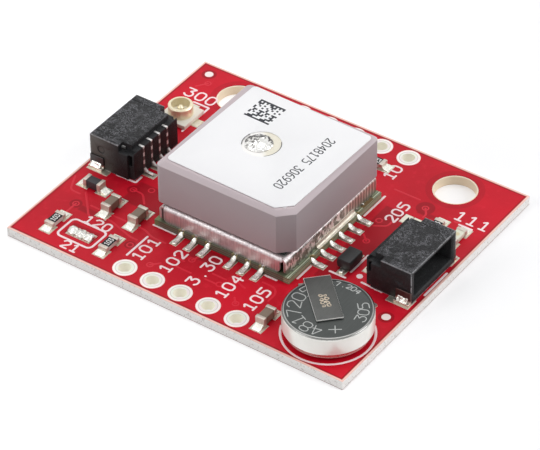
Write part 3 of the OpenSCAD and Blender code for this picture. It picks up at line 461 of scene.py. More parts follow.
def makeLaminate():
    # woven glass in resin; the underside carries the red mask
    paint = Paint("boardLaminate", IOR=1.5, Specular_IOR_Level=0.3)
    along, across, height = paint.axis("X"), paint.axis("Y"), paint.axis("Z")
    weave = (along * 9.0).wave() * (across * 9.0).wave()
    layers = (height * 42.0).wave()
    fuzz = paint.noise(0.07, 4, 0.75)
    speck = paint.ease(paint.noise(0.18, 3, 0.7), 0.56, 0.66)
    cream = paint.mix(tone(255, 254, 252), tone(250, 242, 238), paint.ease(layers * 0.5 + fuzz, 0.2, 1.1))
    cream = paint.mix(cream, tone(160, 146, 138), speck * 0.45)
    # the foot of the edge is painted a darker brown: painted shade where the board meets the floor
    cream = paint.mix(cream, tone(150, 120, 112), paint.ease(height, 0.09, 0.04) * 0.6)
    for x, y in maskValues["holes"]:
        wall = paint.mix(tone(254, 240, 218), tone(246, 224, 194), fuzz)
        cream = paint.mix(cream, wall, paint.ease(paint.reach((x, y, 0)), 1.8, 1.7))
    below = (height < 0.004) * 1.0
    mask = paint.mix(maskValues["copper"], maskValues["bare"], paint.noise(4, 2))
    paint.feed(Base_Color=paint.mix(cream, mask, below), Roughness=0.75 - 0.36 * below - 0.1 * fuzz)
    return paint.bump((fuzz + 0.3 * weave + 0.4 * layers) * (1 - 0.8 * below), 0.008)


def makeSolder(name, bright=(240, 240, 236), dull=(206, 204, 196), rough=0.16, lump=0.2, depth=0.02, metallic=1.0):
    paint = Paint(name, Metallic=metallic)
    lumps = paint.noise(lump, 3, 0.55, warp=0.6)
    grain = paint.noise(0.03, 2, 0.6)
    flux = paint.ease(paint.noise(0.5, 3), 0.55, 0.75)
    paint.feed(Base_Color=paint.mix(paint.mix(tone(*bright), tone(*dull), lumps), tone(206, 192, 156), flux * 0.35),
               Roughness=rough + 0.18 * lumps + 0.1 * flux)
    return paint.bump(lumps + 0.25 * grain, depth)


def makeMetal(name, light, dark, rough, grain=0.12, depth=0.004, stretch=(1, 1, 1), stain=None, metallic=1.0, spots=()):
    # spots are places, on the board, that are left paler and less mirror-like
    paint = Paint(name, Metallic=metallic)
    brushed = paint.noise(grain, 3, 0.6, paint.shifted((0, 0, 0), 0, stretch))
    cloud = paint.noise(1.3, 3)
    colour = paint.mix(tone(*light), tone(*dark), brushed)
    if stain:
        colour = paint.mix(colour, tone(*stain), paint.ease(cloud, 0.5, 0.75) * 0.5)
    if spots:
        pale = paint.ease(paint.reach((*spots[0], 0)), 0.7, 0.6)
        for place in spots[1:]:
            pale = pale.most(paint.ease(paint.reach((*place, 0)), 0.7, 0.6))
        colour = paint.mix(colour, tone(252, 236, 232), pale)
        paint.feed(Metallic=1 - 0.85 * pale)
    paint.feed(Base_Color=colour, Roughness=rough + 0.12 * brushed + 0.08 * cloud)
    return paint.bump(brushed, depth)


def makeCan(name, node):
    # tinned sheet with fine rolling lines, their pinkish tint partly painted reflection of the red board; its right
    # side is painted with the reflection of the ledge and the parts beyond it
    paint = Paint(name, Metallic=0.76)
    low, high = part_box(node)
    rolled = paint.noise(0.12, 3, 0.6, paint.shifted((0, 0, 0), 0, (1, 1, 0.08)))
    cloud = paint.noise(1.3, 3)
    # the pinkish tint of these rolled colours is partly painted reflection of the red board
    colour = paint.mix(tone(255, 250, 250), tone(128, 112, 117), rolled)
    colour = paint.mix(colour, tone(220, 212, 208), paint.ease(cloud, 0.5, 0.75) * 0.5)
    along, height = paint.axis("Y"), paint.axis("Z")
    # painted reflection on the right side: the ledge's lines, bright lumps nearer the front, and a greener band near
    # the foot
    lines = paint.ease((along * 16.5 + cloud * 5).wave() + rolled * 1.6 - 0.8, -0.2, 0.9)
    paintedLedgeReflection = paint.mix(tone(146, 130, 118), tone(232, 220, 212), lines)
    lumps = paint.ease(paint.noise(0.34, 3, 0.6, paint.shifted((0, 0, 0), 0, (1, 1, 0.6))), 0.47, 0.56)
    paintedBeadReflection = paint.mix(tone(112, 112, 98), tone(252, 250, 246), lumps)
    side = paint.mix(paintedBeadReflection, paintedLedgeReflection, paint.ease(along, 1.2, 2.2))
    side = paint.mix(side, tone(120, 124, 102), paint.ease(height, low.z / mm + 0.45, low.z / mm + 0.1) * 0.5)
    right = paint.ease(paint.axis("X"), high.x / mm - 0.16, high.x / mm - 0.08) * paint.ease(height, high.z / mm - 0.12, high.z / mm - 0.22)
    paint.feed(Base_Color=paint.mix(colour, side, right * 0.8), Roughness=0.28 + 0.12 * rolled + 0.08 * cloud)
    return paint.bump(rolled, 0.04)


def makeMould(name, base, light, rough=0.5, grain=0.07, depth=0.006, specular=0.5):
    paint = Paint(name, IOR=1.5, Specular_IOR_Level=specular)
    fine = paint.noise(grain, 4, 0.7)
    cloud = paint.noise(1.1, 3)
    pits = paint.ease(paint.cells(grain * 2.2), 0.1, 0.45)
    colour = paint.mix(tone(*base), tone(*light), paint.ease(fine, 0.35, 0.75) * 0.7)
    paint.feed(Base_Color=paint.mix(colour, tone(*light), cloud * 0.25), Roughness=rough + 0.2 * fine)
    return paint.bump(fine + 0.5 * pits, depth)


def makeSocketMould(name, node, pale):
    # black glass-filled plastic: crazed on top, with a broken painted highlight along its edges, one end cloudier than
    # the other
    paint = Paint(name, IOR=1.5, Specular_IOR_Level=0.35)
    low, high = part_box(node)
    fine = paint.noise(0.06, 4, 0.75)
    crazed = paint.ease(paint.noise(0.16, 6, 0.9, warp=1.5), 0.50, 0.62)
    veins = paint.ease(abs(paint.noise(0.55, 3, 0.7, warp=2.0) - 0.5), 0.034, 0.008)
    veins = veins * paint.ease(paint.noise(0.7, 2), 0.40, 0.55)
    scuff = paint.ease(paint.noise(0.5, 4, 0.7, paint.shifted((0, 0, 0), 25, (1, 0.25, 1))), 0.52, 0.68)
    cloud = paint.noise(1.0, 3)
    above = paint.ease(paint.axis("Z"), high.z / mm - 0.12, high.z / mm - 0.06)
    colour = paint.mix(tone(6, 6, 8), tone(26, 27, 30), 0.5 * fine + 0.4 * cloud)
    colour = paint.mix(colour, tone(118, 118, 123), crazed * (0.08 + 0.34 * above))
    colour = paint.mix(colour, tone(150, 150, 156), veins * above * 0.7)
    colour = paint.mix(colour, tone(96, 96, 100), scuff * (0.1 + 0.3 * above))
    end = paint.ease(paint.axis("Y"), low.y / mm + 0.12, low.y / mm + 0.06)
    colour = paint.mix(colour, tone(104, 100, 94), end * paint.ease(paint.axis("X"), low.x / mm + 3.2, low.x / mm) * pale)
    mark = paint.reach((low.x / mm + 1.04, low.y / mm, low.z / mm + 1.83), False)
    colour = paint.mix(colour, tone(8, 8, 9), (paint.ease(mark, 0.38, 0.33) * paint.ease(mark, 0.22, 0.30)) * 0.8)
    near = []
    for letter, start, end in (("X", low.x, high.x), ("Y", low.y, high.y), ("Z", low.z, high.z)):
        along = abs(paint.axis(letter) - (start + end) / 2 / mm)
        near.append(paint.ease(along, (end - start) / 2 / mm - 0.10, (end - start) / 2 / mm - 0.03))
    edges = (near[0] * near[1]).most(near[1] * near[2]).most(near[0] * near[2])
    # the edges get a broken pale line: painted highlight where the rounded edges catch the light
    paintedEdgeHighlight = paint.ease(paint.noise(0.25, 4, 0.75), 0.36, 0.56)
    colour = paint.mix(colour, tone(172, 172, 176), edges * paintedEdgeHighlight * 0.8)
    paint.feed(Base_Color=colour, Roughness=0.42 + 0.25 * fine)
    return paint.bump(fine + crazed * (0.3 + above), 0.022)


def makeContact(name, node, bright, dark, share, paintedGlintRate=0):
    # tinned sheet, painted dark above a share of its height as shade where the housing shades it; when the last
    # argument is given, bands of painted highlight and painted shade repeat down its height instead
    low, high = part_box(node)
    level = (low.z + (high.z - low.z) * share) / mm
    paint = Paint(name)
    fine = paint.noise(0.1, 3, 0.6)
    colour = paint.mix(tone(*bright), tone(*(value * 0.88 for value in bright)), fine)
    height = paint.axis("Z") + (fine - 0.5) * 0.1
    # painted shade above the level, where the housing shades the sheet
    shade = paint.ease(height, level - 0.06, level + 0.06)
    if paintedGlintRate:
        # bands of painted highlight and painted shade alternate down the height, bright at the top bend
        shade = paint.ease(((height - high.z / mm) * paintedGlintRate + 1.5).wave(), 0.25, -0.15)
    paint.feed(Base_Color=paint.mix(colour, tone(*dark), shade), Roughness=0.18 + 0.12 * fine + 0.15 * shade,
               Metallic=0.22 + 0.6 * shade if paintedGlintRate else 0.96 + 0.04 * shade)
    return paint.bump(fine, 0.004)


def makeCeramic(name, base, light, edgeHeight=None, rough=0.5):
    paint = Paint(name, IOR=1.6, Specular_IOR_Level=0.3)
    fine = paint.noise(0.08, 4, 0.75)
    cloud = paint.noise(2.2, 3)
    dots = paint.ease(paint.cells(0.35), 0.02, 0.10)
    colour = paint.mix(tone(*base), tone(*light), fine * 0.28 + cloud * 0.2)
    colour = paint.mix(tone(112, 100, 100), colour, 0.75 + 0.25 * dots)
    if edgeHeight:
        edge = paint.ease(paint.axis("Z") + (fine - 0.5) * 0.06, edgeHeight - 0.03, edgeHeight + 0.02)
        colour = paint.mix(colour, tone(204, 190, 194), edge)
    paint.feed(Base_Color=colour, Roughness=rough + 0.16 * fine)
    return paint.bump(fine + 0.6 * dots, 0.007)


def makeSubstrate():
    # the edge shows its layers: green core, pale glass and copper planes; the right ledge has mask lines
    paint = Paint("receiverSubstrate", IOR=1.5)
    low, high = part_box("receiver_substrate")
    level = (paint.axis("Z") - low.z / mm) / ((high.z - low.z) / mm)
    fuzz = paint.noise(0.07, 4, 0.75)
    stripes = paint.put("ShaderNodeValToRGB", {"stops": [
        (0.0, tone(86, 94, 72)), (0.12, tone(142, 146, 116)), (0.26, tone(104, 108, 84)), (0.38, tone(178, 178, 148)),
        (0.50, tone(100, 104, 80)), (0.64, tone(166, 168, 136)), (0.80, tone(98, 104, 82)), (1.0, tone(126, 136, 104))]},
        {0: level + (fuzz - 0.5) * 0.16})
    inward = high.x / mm - paint.axis("X")
    ledge = paint.put("ShaderNodeValToRGB", {"stops": [
        (0.0, tone(176, 186, 154)), (0.16, tone(34, 40, 28)), (0.30, tone(214, 220, 196)), (0.46, tone(176, 186, 154)),
        (0.58, tone(38, 46, 32)), (0.74, tone(160, 170, 140)), (1.0, tone(90, 102, 78))]},
        {0: inward / 0.42 + (fuzz - 0.5) * 0.1})
    # the faces away from the right edge are painted a dark brown: painted shade under the can's overhanging panels
    paintedShadeFaces = paint.mix(tone(108, 102, 86), tone(78, 74, 60), paint.ease((level * 17.0).wave() * 0.5 + fuzz, 0.1, 1.0))
    paintedShadeFaces = paint.mix(paintedShadeFaces, tone(88, 92, 70), level > 0.97)
    green = paint.ease(paint.axis("X"), low.x / mm + 0.6, low.x / mm + 0.2)
    paintedShadeFaces = paint.mix(paintedShadeFaces, tone(122, 140, 92), green * 0.7)
    ledge = paint.mix(ledge, tone(116, 92, 56), paint.patch((high.x / mm - 0.36, 3.8), (high.x / mm - 0.02, 5.2), 0.03))
    colour = paint.mix(paintedShadeFaces, paint.mix(stripes, ledge, level > 0.97), inward < 0.5)
    paint.feed(Base_Color=paint.mix(colour, tone(60, 66, 52), paint.ease(fuzz, 0.5, 0.8) * 0.4),
               Roughness=0.42 + 0.3 * fuzz)
    return paint.bump(fuzz, 0.012)


cellValues = {"centre": (11.39, -8.85), "face": 3.28}


def makeCell(values):
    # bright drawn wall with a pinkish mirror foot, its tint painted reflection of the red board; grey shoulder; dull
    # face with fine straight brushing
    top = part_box("cell_can")[1].z / mm
    paint = Paint("cellSteel")
    reach = paint.reach((*values["centre"], 0))
    height = paint.axis("Z")
    face = paint.ease(reach, values["face"] + 0.02, values["face"] - 0.02) * paint.ease(height, top - 0.22, top - 0.17)
    rim = paint.ease(reach, values["face"] - 0.10, values["face"] - 0.05) * face
    shoulder = paint.ease(height, top - 0.14, top - 0.09)
    foot = paint.ease(height, top - 1.48, top - 1.60)
    brushed = paint.noise(0.05, 3, 0.6, paint.shifted((0, 0, 0), 40, (1, 0.06, 1)))
    cloud = paint.noise(1.4, 3)
    bright = paint.mix(tone(255, 254, 249), tone(246, 244, 238), cloud)
    bright = paint.mix(bright, tone(132, 132, 130), shoulder)
    # the foot's pinkish tint is painted reflection of the red board under it
    bright = paint.mix(bright, tone(214, 168, 164), foot)
    dull = paint.mix(tone(94, 96, 95), tone(68, 72, 71), brushed * 0.6 + cloud * 0.4)
    dull = paint.mix(dull, tone(168, 168, 166), rim)
    paint.feed(Base_Color=paint.mix(bright, dull, face), Roughness=0.24 + face * 0.14 + 0.12 * brushed * face,
               Metallic=(0.22 + 0.78 * shoulder.most(foot)).most(face))
    return paint.bump(brushed * face, 0.003)


def makeStrip(names):
    # nickel strip, dull on its rolled faces and near white on its cut edges, partly bright sheared metal and partly
    # painted highlight
    paint = Paint("nickelStrip")
    brushed = paint.noise(0.06, 3, 0.6, paint.shifted((0, 0, 0), 46, (1, 0.08, 1)))
    grain = paint.noise(0.04, 3, 0.7)
    cloud = paint.noise(0.9, 3)
    top = max(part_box(name)[1].z for name in names) / mm
    height = paint.axis("Z")
    cut = paint.ease(height, top - 0.012, top - 0.024) * paint.ease(height, top - 0.19, top - 0.16)
    dull = paint.mix(tone(104, 104, 102), tone(74, 76, 75), brushed * 0.5 + cloud * 0.5)
    dull = paint.mix(dull, tone(58, 58, 57), paint.ease(grain, 0.58, 0.7) * 0.6)
    dull = paint.mix(dull, tone(176, 176, 172), paint.ease(height, top - 0.2, top - 0.6))
    # the cut edges are near white and barely metallic: partly bright metal, partly painted highlight
    paint.feed(Base_Color=paint.mix(dull, tone(250, 249, 246), cut), Roughness=0.36 + 0.14 * grain - 0.1 * cut,
               Metallic=1 - 0.8 * cut)
    return paint.bump(brushed + grain, 0.004)


def makeLabel():
    paint = Paint("whiteLabel", IOR=1.45, Specular_IOR_Level=0.3)
    fine = paint.noise(0.12, 3, 0.6)
    cloud = paint.noise(3.0, 2)
    paint.feed(Base_Color=paint.mix(tone(250, 250, 251), tone(242, 242, 245), fine * 0.4 + cloud * 0.4),
               Roughness=0.45 + 0.12 * fine)
    return paint.bump(fine + cloud * 2, 0.004)


def makeRings(name, pitch, row):
    # plated rings: a white band outside, a thin grey line, then the hole, given a faint painted glow
    paint = Paint(name, Emission_Strength=1.0)
    fine = paint.noise(0.2, 3, 0.6)
    along = paint.put("ShaderNodeMath", {"operation": "WRAP"}, {0: paint.axis("X"), 1: pitch / 2, 2: -pitch / 2})
    across = abs(paint.axis("Y")) - row
    reach = (along * along + across * across) ** 0.5
    band = paint.mix(tone(255, 246, 243), tone(246, 226, 222), paint.ease(reach, 0.84, 0.94))
    inside = paint.mix(tone(238, 242, 228), tone(244, 234, 234), paint.ease(paint.noise(0.7, 2), 0.4, 0.6))
    colour = paint.mix(inside, band, paint.ease(reach, 0.70, 0.76))
    colour = paint.mix(tone(246, 244, 232), colour, paint.ease(reach, 0.50, 0.54))
    line = paint.ease(reach, 0.66, 0.71) * paint.ease(reach, 0.78, 0.73)
    # the hole gets a faint painted glow through Emission Color, standing in for light coming through it
    paint.feed(Base_Color=paint.mix(colour, tone(190, 184, 176), line * 0.5), Roughness=0.34 + 0.14 * fine,
               Metallic=0.1 + 0.26 * paint.ease(reach, 0.50, 0.54),
               Emission_Color=paint.mix(tone(80, 76, 66), tone(0, 0, 0), paint.ease(reach, 0.50, 0.54)))
    return paint.bump(fine, 0.008)


def makeSilver(name, middle):
    # fired silver, seen only around the feed; its outer edge is dusted with the pale ceramic
    paint = Paint(name)
    fine = paint.noise(0.1, 3, 0.6)
    near = paint.ease(paint.reach(middle), 3.0, 2.6)
    side = paint.put("ShaderNodeVectorMath", {"operation": "DOT_PRODUCT"},
                     {0: paint.shifted(middle), 1: (0.81, 0.58, 0)}, out="Value")
    colour = paint.mix(tone(238, 234, 222), tone(220, 214, 196), fine)
    colour = paint.mix(tone(246, 244, 242), colour, paint.ease(side, -0.1, 0.5))
    paint.feed(Base_Color=paint.mix(tone(214, 208, 210), colour, near), Roughness=0.36 + 0.15 * fine,
               Metallic=near * 0.6)
    return paint.bump(fine, 0.006)


def makeFeedSolder(name, middle):
    # a crinkled mirror with painted dark reflections where its folds look back over the board, flecked with painted
    # glints
    paint = Paint(name, Metallic=1.0)
    folds = paint.noise(0.75, 3, 0.6, warp=1.2)
    lumps = paint.noise(0.4, 3, 0.6)
    back = paint.put("ShaderNodeVectorMath", {"operation": "DOT_PRODUCT"},
                     {0: paint.shifted(middle), 1: (-0.58, 0.81, 0)}, out="Value")
    # dark patches are painted reflection of the board, and the paler flecks in them are painted glints
    dark = paint.ease(folds + back * 0.13, 0.50, 0.58)
    glint = paint.ease(paint.noise(0.22, 3, 0.7, warp=2.0), 0.50, 0.60)
    colour = paint.mix(tone(250, 250, 248), tone(214, 212, 208), lumps)
    dull = paint.mix(tone(78, 75, 74), tone(168, 166, 164), glint)
    paint.feed(Base_Color=paint.mix(colour, dull, dark), Roughness=0.10 + 0.12 * lumps)
    return paint.bump(folds + 0.4 * lumps, 0.05)


def makeInk(name, base, worn, rough=0.55):
    paint = Paint(name, IOR=1.45, Specular_IOR_Level=0.3)
    fine = paint.noise(0.06, 3, 0.7)
    paint.feed(Base_Color=paint.mix(tone(*base), tone(*worn), paint.ease(fine, 0.35, 0.8) * 0.8),
               Roughness=rough + 0.15 * fine)
    return paint.bump(fine, 0.004)


def makeFilm():
    # chip resistor: white alumina with a glossy dark coat on its top
    paint = Paint("resistorBody", IOR=1.5, Specular_IOR_Level=0.25)
    height = paint.axis("Z")
    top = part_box("resistor_front_left")[1].z / mm
    fine = paint.noise(0.06, 3, 0.7)
    coat = paint.ease(height, top - 0.05, top - 0.03)
    white = paint.mix(tone(236, 232, 226), tone(206, 200, 192), fine)
    black = paint.mix(tone(12, 12, 14), tone(30, 30, 33), fine)
    paint.feed(Base_Color=paint.mix(white, black, coat), Roughness=0.55 - 0.25 * coat + 0.1 * fine)
    return paint.bump(fine, 0.004)


def makeLamp():
    # cream diode body with a pale lens over a small warm chip
    low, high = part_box("status_led")
    centre = ((low.x + high.x) / 2 / mm, (low.y + high.y) / 2 / mm, high.z / mm)
    paint = Paint("diodeBody", IOR=1.5, Coat_Weight=0.4)
    reach = paint.reach(centre, False)
    fine = paint.noise(0.08, 3, 0.6)
    body = paint.mix(tone(240, 240, 224), tone(216, 218, 196), fine)
    paint.feed(Base_Color=paint.mix(tone(220, 206, 164), body, paint.ease(reach, 0.12, 0.26)),
               Roughness=0.32 + 0.15 * fine)
    return paint.bump(fine, 0.004)


maskPaint = makeMask(maskValues)
tracePaint = makeTrace()
laminatePaint = makeLaminate()
solderPaint = makeSolder("brightSolder")
canBarPaint = makeSolder("canSolderBar", (226, 220, 206), (178, 170, 154), 0.24, 0.24, 0.012, 0.6)
beadPaint = makeSolder("beadSolder", (255, 255, 252), (178, 174, 164), 0.14, 0.2, 0.03)
domePaint = makeFeedSolder("feedSolder", (-0.9, -0.1, 0))
tinPaint = makeMetal("tinnedCopper", (232, 228, 214), (206, 202, 186), 0.30, 0.15, 0.008, stain=(214, 202, 166),
                     spots=[(13.94, -5.13), (-13.94, 11.45)])
capPaint = makeMetal("terminationTin", (224, 216, 206), (182, 172, 160), 0.36, 0.12, 0.01, metallic=0.7)
ringPaint = makeRings("tinnedRings", 2.54, 11.43)
goldPaint = makeMetal("goldPlating", (196, 186, 150), (160, 148, 112), 0.28, 0.15, 0.004)
coaxGoldPaint = makeMetal("coaxPlating", (246, 238, 212), (226, 214, 180), 0.30, 0.2, 0.004, metallic=0.7)
canPaint = makeCan("canSheet", "shield_can")
silverPaint = makeSilver("firedSilver", (-0.66, 0, 0))
contactPaint = makeMetal("tinnedLeads", (240, 238, 232), (212, 208, 200), 0.18, 0.1, 0.004)
leftBladePaint = makeContact("leftBlades", "socket_left_contacts", (254, 252, 250), (112, 106, 106), 1.0, 8.4)
rightBladePaint = makeContact("rightBlades", "socket_right_contacts", (240, 238, 232), (52, 52, 54), 0.9)
leftTabPaint = makeContact("leftTabs", "socket_left_tabs", (226, 218, 206), (74, 70, 70), 0.34)
rightTabPaint = makeContact("rightTabs", "socket_right_tabs", (214, 200, 190), (92, 74, 72), 0.30)
stripPaint = makeStrip(["cell_upper_tab", "cell_lower_tab"])
# the weld marks' dark brown is their own colour; their near white is partly painted glint
weldPaint = makeMetal("weldMarks", (250, 236, 214), (84, 66, 48), 0.28, 0.16, 0.03)
leftSocketPaint = makeSocketMould("leftSocketMoulding", "socket_left_housing", 0.7)
rightSocketPaint = makeSocketMould("rightSocketMoulding", "socket_right_housing", 0.0)
chipPaint = makeMould("chipMoulding", (22, 23, 25), (42, 45, 47), 0.4)
# the adhesive pad's near-black colour is partly painted shade of the thin gap under the ceramic
adhesivePaint = makeMould("adhesivePad", (30, 36, 34), (52, 60, 56), 0.6, 0.12, 0.02, 0.2)
sealPaint = makeMould("cellSeal", (40, 40, 40), (62, 62, 60), 0.6)
whiteMouldPaint = makeMould("coaxMoulding", (232, 226, 212), (244, 240, 230), 0.45)
capacitorPaint = makeCeramic("capacitorBody", (128, 112, 98), (152, 134, 118), rough=0.4)
ferritePaint = makeCeramic("ferriteBody", (48, 46, 50), (80, 78, 82), rough=0.42)
patchPaint = makeCeramic("patchCeramic", (170, 159, 162), (182, 172, 176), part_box("patch_ceramic")[1].z / mm - 0.35)
chipCeramicPaint = makeCeramic("chipCeramic", (196, 188, 160), (214, 208, 186))
substratePaint = makeSubstrate()
cellPaint = makeCell(cellValues)
labelPaint = makeLabel()
filmPaint = makeFilm()
lampPaint = makeLamp()
silkPaint = makeInk("silkInk", (254, 236, 238), (244, 206, 212))
labelInkPaint = makeInk("labelInk", (40, 42, 48), (92, 94, 100))
chipInkPaint = makeInk("chipInk", (246, 246, 244), (214, 214, 212))
engravePaint = makeMetal("engravedMarks", (196, 198, 196), (140, 143, 142), 0.32, 0.08, 0.004)
barPaint = makeSolder("solderBar", (252, 252, 246), (232, 232, 220), 0.16, 0.6, 0.006, 0.7)

maskPaint.use("mask_top")
laminatePaint.use("board_core")
tinPaint.use("solder_lands")
ringPaint.use("header_barrels_front", "header_barrels_back")
goldPaint.use("edge_plating_rings", "feed_pin")
coaxGoldPaint.use("coax_ring", "coax_pin")
substratePaint.use("receiver_substrate")
chipPaint.use("positioning_chip", "memory_chip")
chipCeramicPaint.use("filter_chip")
canPaint.use("crystal_can")
adhesivePaint.use("adhesive_pad")
silverPaint.use("patch_electrode")
cellPaint.use("cell_can", "cell_cap")
sealPaint.use("cell_seal_ring")
filmPaint.use("resistor_front_left", "resistor_front_right", "resistor_back", "resistor_right")
print("finishes are made")


# edges of the moulded, stamped and sintered pieces are rounded
roundValues = [
    # node, piece, paint, slot, radius in mm, steps
    ("socket_left_housing", "socketShellLeft", leftSocketPaint, "socket_mould", 0.05, 2),
    ("socket_right_housing", "socketShellRight", rightSocketPaint, "socket_mould", 0.05, 2),
    ("socket_left_contacts", "socketBladesLeft", leftBladePaint, "tinned_contact", 0.03, 2),
    ("socket_right_contacts", "socketBladesRight", rightBladePaint, "tinned_contact", 0.03, 2),
    ("socket_left_tabs", "socketTabsLeft", leftTabPaint, "tinned_contact", 0.03, 2),
    ("socket_right_tabs", "socketTabsRight", rightTabPaint, "tinned_contact", 0.03, 2),
    ("patch_ceramic", "patchBlock", patchPaint, "patch_body", 0.07, 3),
    ("patch_label", "patchLabel", labelPaint, "label", 0.02, 2),
    ("shield_can", "foldedCan", canPaint, "can_metal", 0.03, 2),
    ("rectifier_body", "rectifierBody", chipPaint, "chip_mould", 0.05, 2),
    ("rectifier_leads", "rectifierLeads", contactPaint, "tinned_contact", 0.03, 2),
    ("cell_upper_tab", "cellUpperTab", stripPaint, "tab_steel", 0.05, 3),
    ("cell_lower_tab", "cellLowerTab", stripPaint, "tab_steel", 0.02, 2),
    ("coax_base", "coaxBase", whiteMouldPaint, "coax_mould", 0.04, 2),
    ("chip_end_caps", "chipEndCaps", capPaint, "tinned_copper", 0.018, 2),
    ("capacitor_front_left", "capacitorFrontLeft", capacitorPaint, "capacitor_body", 0.04, 2),
    ("capacitor_front_right", "capacitorFrontRight", capacitorPaint, "capacitor_body", 0.04, 2),
    ("capacitor_corner", "capacitorCorner", capacitorPaint, "capacitor_body", 0.04, 2),
    ("ferrite_bead", "ferriteBead", ferritePaint, "ferrite", 0.04, 2),
    ("status_led", "statusLamp", lampPaint, "led_body", 0.05, 2),
]


def roundNode(name, piece, paint, slot, radius, steps):
    copy = doubled([name])
    editAll(copy)
    bpy.ops.mesh.dissolve_limited(angle_limit=math.radians(0.5))
    leaveEdit()
    modifier(copy, "BEVEL", width=radius * mm, segments=steps, limit_method="ANGLE",
             angle_limit=math.radians(40), miter_outer="MITER_ARC", use_clamp_overlap=True)
    return finishPiece(copy, piece, paint, [name])


for entry in roundValues:
    roundNode(*entry)
print("edges are rounded")


# solder: the joints are melted from the CAD ones, the beads on the edge lands are drawn out
meltValues = [
    # nodes, piece, paint, voxel, smoothing rounds, lump size, lump depth, share of the height kept, chamfer
    (("jumper_solder",), "jumperSolder", solderPaint, 0.03, 4, 0.35, 0.16, 1, 0),
    (("shield_solder_strip",), "canSolderStrip", canBarPaint, 0.03, 1, 0.60, 0.04, 1.3, 0.17),
    (("feed_solder",), "feedDome", domePaint, 0.05, 6, 0.55, 0.22, 0.94, 0),
    (("socket_left_solder", "socket_right_solder"), "socketTabSolder", solderPaint, 0.03, 4, 0.35, 0.14, 1, 0),
    (("chip_solder",), "chipSolder", barPaint, 0.03, 5, 0.30, 0.06, 0.46, 0),
]
for names, piece, paint, voxel, rounds, size, depth, kept, chamfer in meltValues:
    melted = doubled(names)
    if chamfer:
        modifier(melted, "BEVEL", width=chamfer * mm, segments=1, limit_method="ANGLE", use_clamp_overlap=True)
    melted = lumpy(melted, size, depth, voxel, rounds)
    editAll(melted)
    bpy.ops.transform.resize(value=(1, 1, kept), center_override=(0, 0, max(landTop * mm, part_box(names[0])[0].z)))
    leaveEdit()
    finishPiece(melted, piece, paint, names, 80)

edgeValues = {
    "centre": (-0.1, 0.0), "half": 6.15,
    "frontStops": (-3.66, -2.44, -1.22, 1.22, 2.44, 3.66), "sideStops": (-3.05, -1.83, -0.61, 0.61, 1.83, 3.05),
    # outward distance, half width and height of the bead's sections
    "sections": [(-0.19, 0.16, 0.47), (-0.06, 0.21, 0.45), (0.05, 0.25, 0.33), (0.20, 0.27, 0.19), (0.45, 0.28, 0.13),
                 (0.85, 0.28, 0.12), (1.10, 0.22, 0.08)],
    "lumpSize": 0.26, "lumpDepth": 0.08,
}


def drawBead(values):
    # one bead on its land, drawn out along -Y from the wall at Y = 0
    first = values["sections"][0]
    dropPick()
    bpy.ops.mesh.primitive_plane_add(size=1, location=(0, -first[0] * mm, first[2] / 2 * mm),
                                     rotation=(math.radians(90), 0, 0))
    bead = bpy.context.object
    bead.scale = (2 * first[1] * mm, first[2] * mm, 1)
    settle(bead)
    editAll(bead, "FACE")
    before = first
    for section in values["sections"][1:]:
        bpy.ops.mesh.extrude_region_move(TRANSFORM_OT_translate={"value": (0, (before[0] - section[0]) * mm, 0)})
        bpy.ops.transform.resize(value=(section[1] / before[1], 1, section[2] / before[2]),
                                 center_override=(0, -section[0] * mm, 0))
        before = section
    bpy.ops.mesh.select_all(action="SELECT")
    bpy.ops.mesh.normals_make_consistent(inside=False)
    leaveEdit()
    modifier(bead, "SUBSURF", levels=2, render_levels=2)
    return bead


def copied(item):
    pick(item)
    bpy.ops.object.duplicate()
    return bpy.context.object


def edgeBeads(values):
    model = drawBead(values)
    beads = []
    for turn, stops in ((0, "frontStops"), (90, "sideStops"), (180, "frontStops"), (270, "sideStops")):
        angle = math.radians(turn)
        for stop in values[stops]:
            bead = copied(model)
            x = values["centre"][0] + stop * math.cos(angle) + values["half"] * math.sin(angle)
            y = values["centre"][1] + stop * math.sin(angle) - values["half"] * math.cos(angle)
            bead.rotation_euler = (0, 0, angle)
            bead.location = (x * mm, y * mm, landTop * mm - 0.01 * mm)
            beads.append(settle(bead))
    bpy.data.objects.remove(model)
    whole = lumpy(joined("edgeBeads", beads), values["lumpSize"], values["lumpDepth"])
    return finishPiece(whole, "edgeBeads", beadPaint, ["edge_solder"], 80)


edgeBeads(edgeValues)

footValues = {"size": (0.30, 0.10, 0.09), "right": (-5.2, -4.4, -3.4, -2.7, 3.4, 4.1, 4.8, 5.3)}


def footSpots(values):
    # small tacks of solder along the can's foot
    spots = []
    wallX = (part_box("shield_can")[1].x / mm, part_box("shield_can")[0].x / mm)
    wallY = (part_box("shield_can")[0].y / mm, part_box("shield_can")[1].y / mm)
    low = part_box("shield_can")[0].z / mm
    places = [(edgeValues["centre"][0] + stop, y, 0) for stop in edgeValues["frontStops"] for y in wallY]
    places += [(x, stop, 90) for stop in values["right"] for x in wallX]
    for x, y, turn in places:
        dropPick()
        bpy.ops.mesh.primitive_uv_sphere_add(segments=16, ring_count=10, radius=0.5, location=(x * mm, y * mm, low * mm))
        spot = bpy.context.object
        grow = dice.uniform(0.7, 1.3)
        spot.scale = (values["size"][0] * mm * grow, values["size"][1] * mm * 2, values["size"][2] * mm * 2 * grow)
        spot.rotation_euler = (0, 0, math.radians(turn))
        settle(spot)
        # the lower half is cut off where it meets the ledge
        editAll(spot)
        bpy.ops.mesh.bisect(plane_co=(0, 0, low * mm), plane_no=(0, 0, 1), use_fill=True, clear_inner=True)
        leaveEdit()
        spots.append(spot)
    whole = lumpy(joined("canFootSolder", spots), 0.15, 0.03)
    return finishPiece(whole, "canFootSolder", solderPaint, angle=80)


footSpots(footValues)
print("solder is melted")


# strokes for printed lines, numbers and covered copper
silkValues = {"line": 0.19, "digit": 0.165, "lift": 0.012, "corner": 0.12}


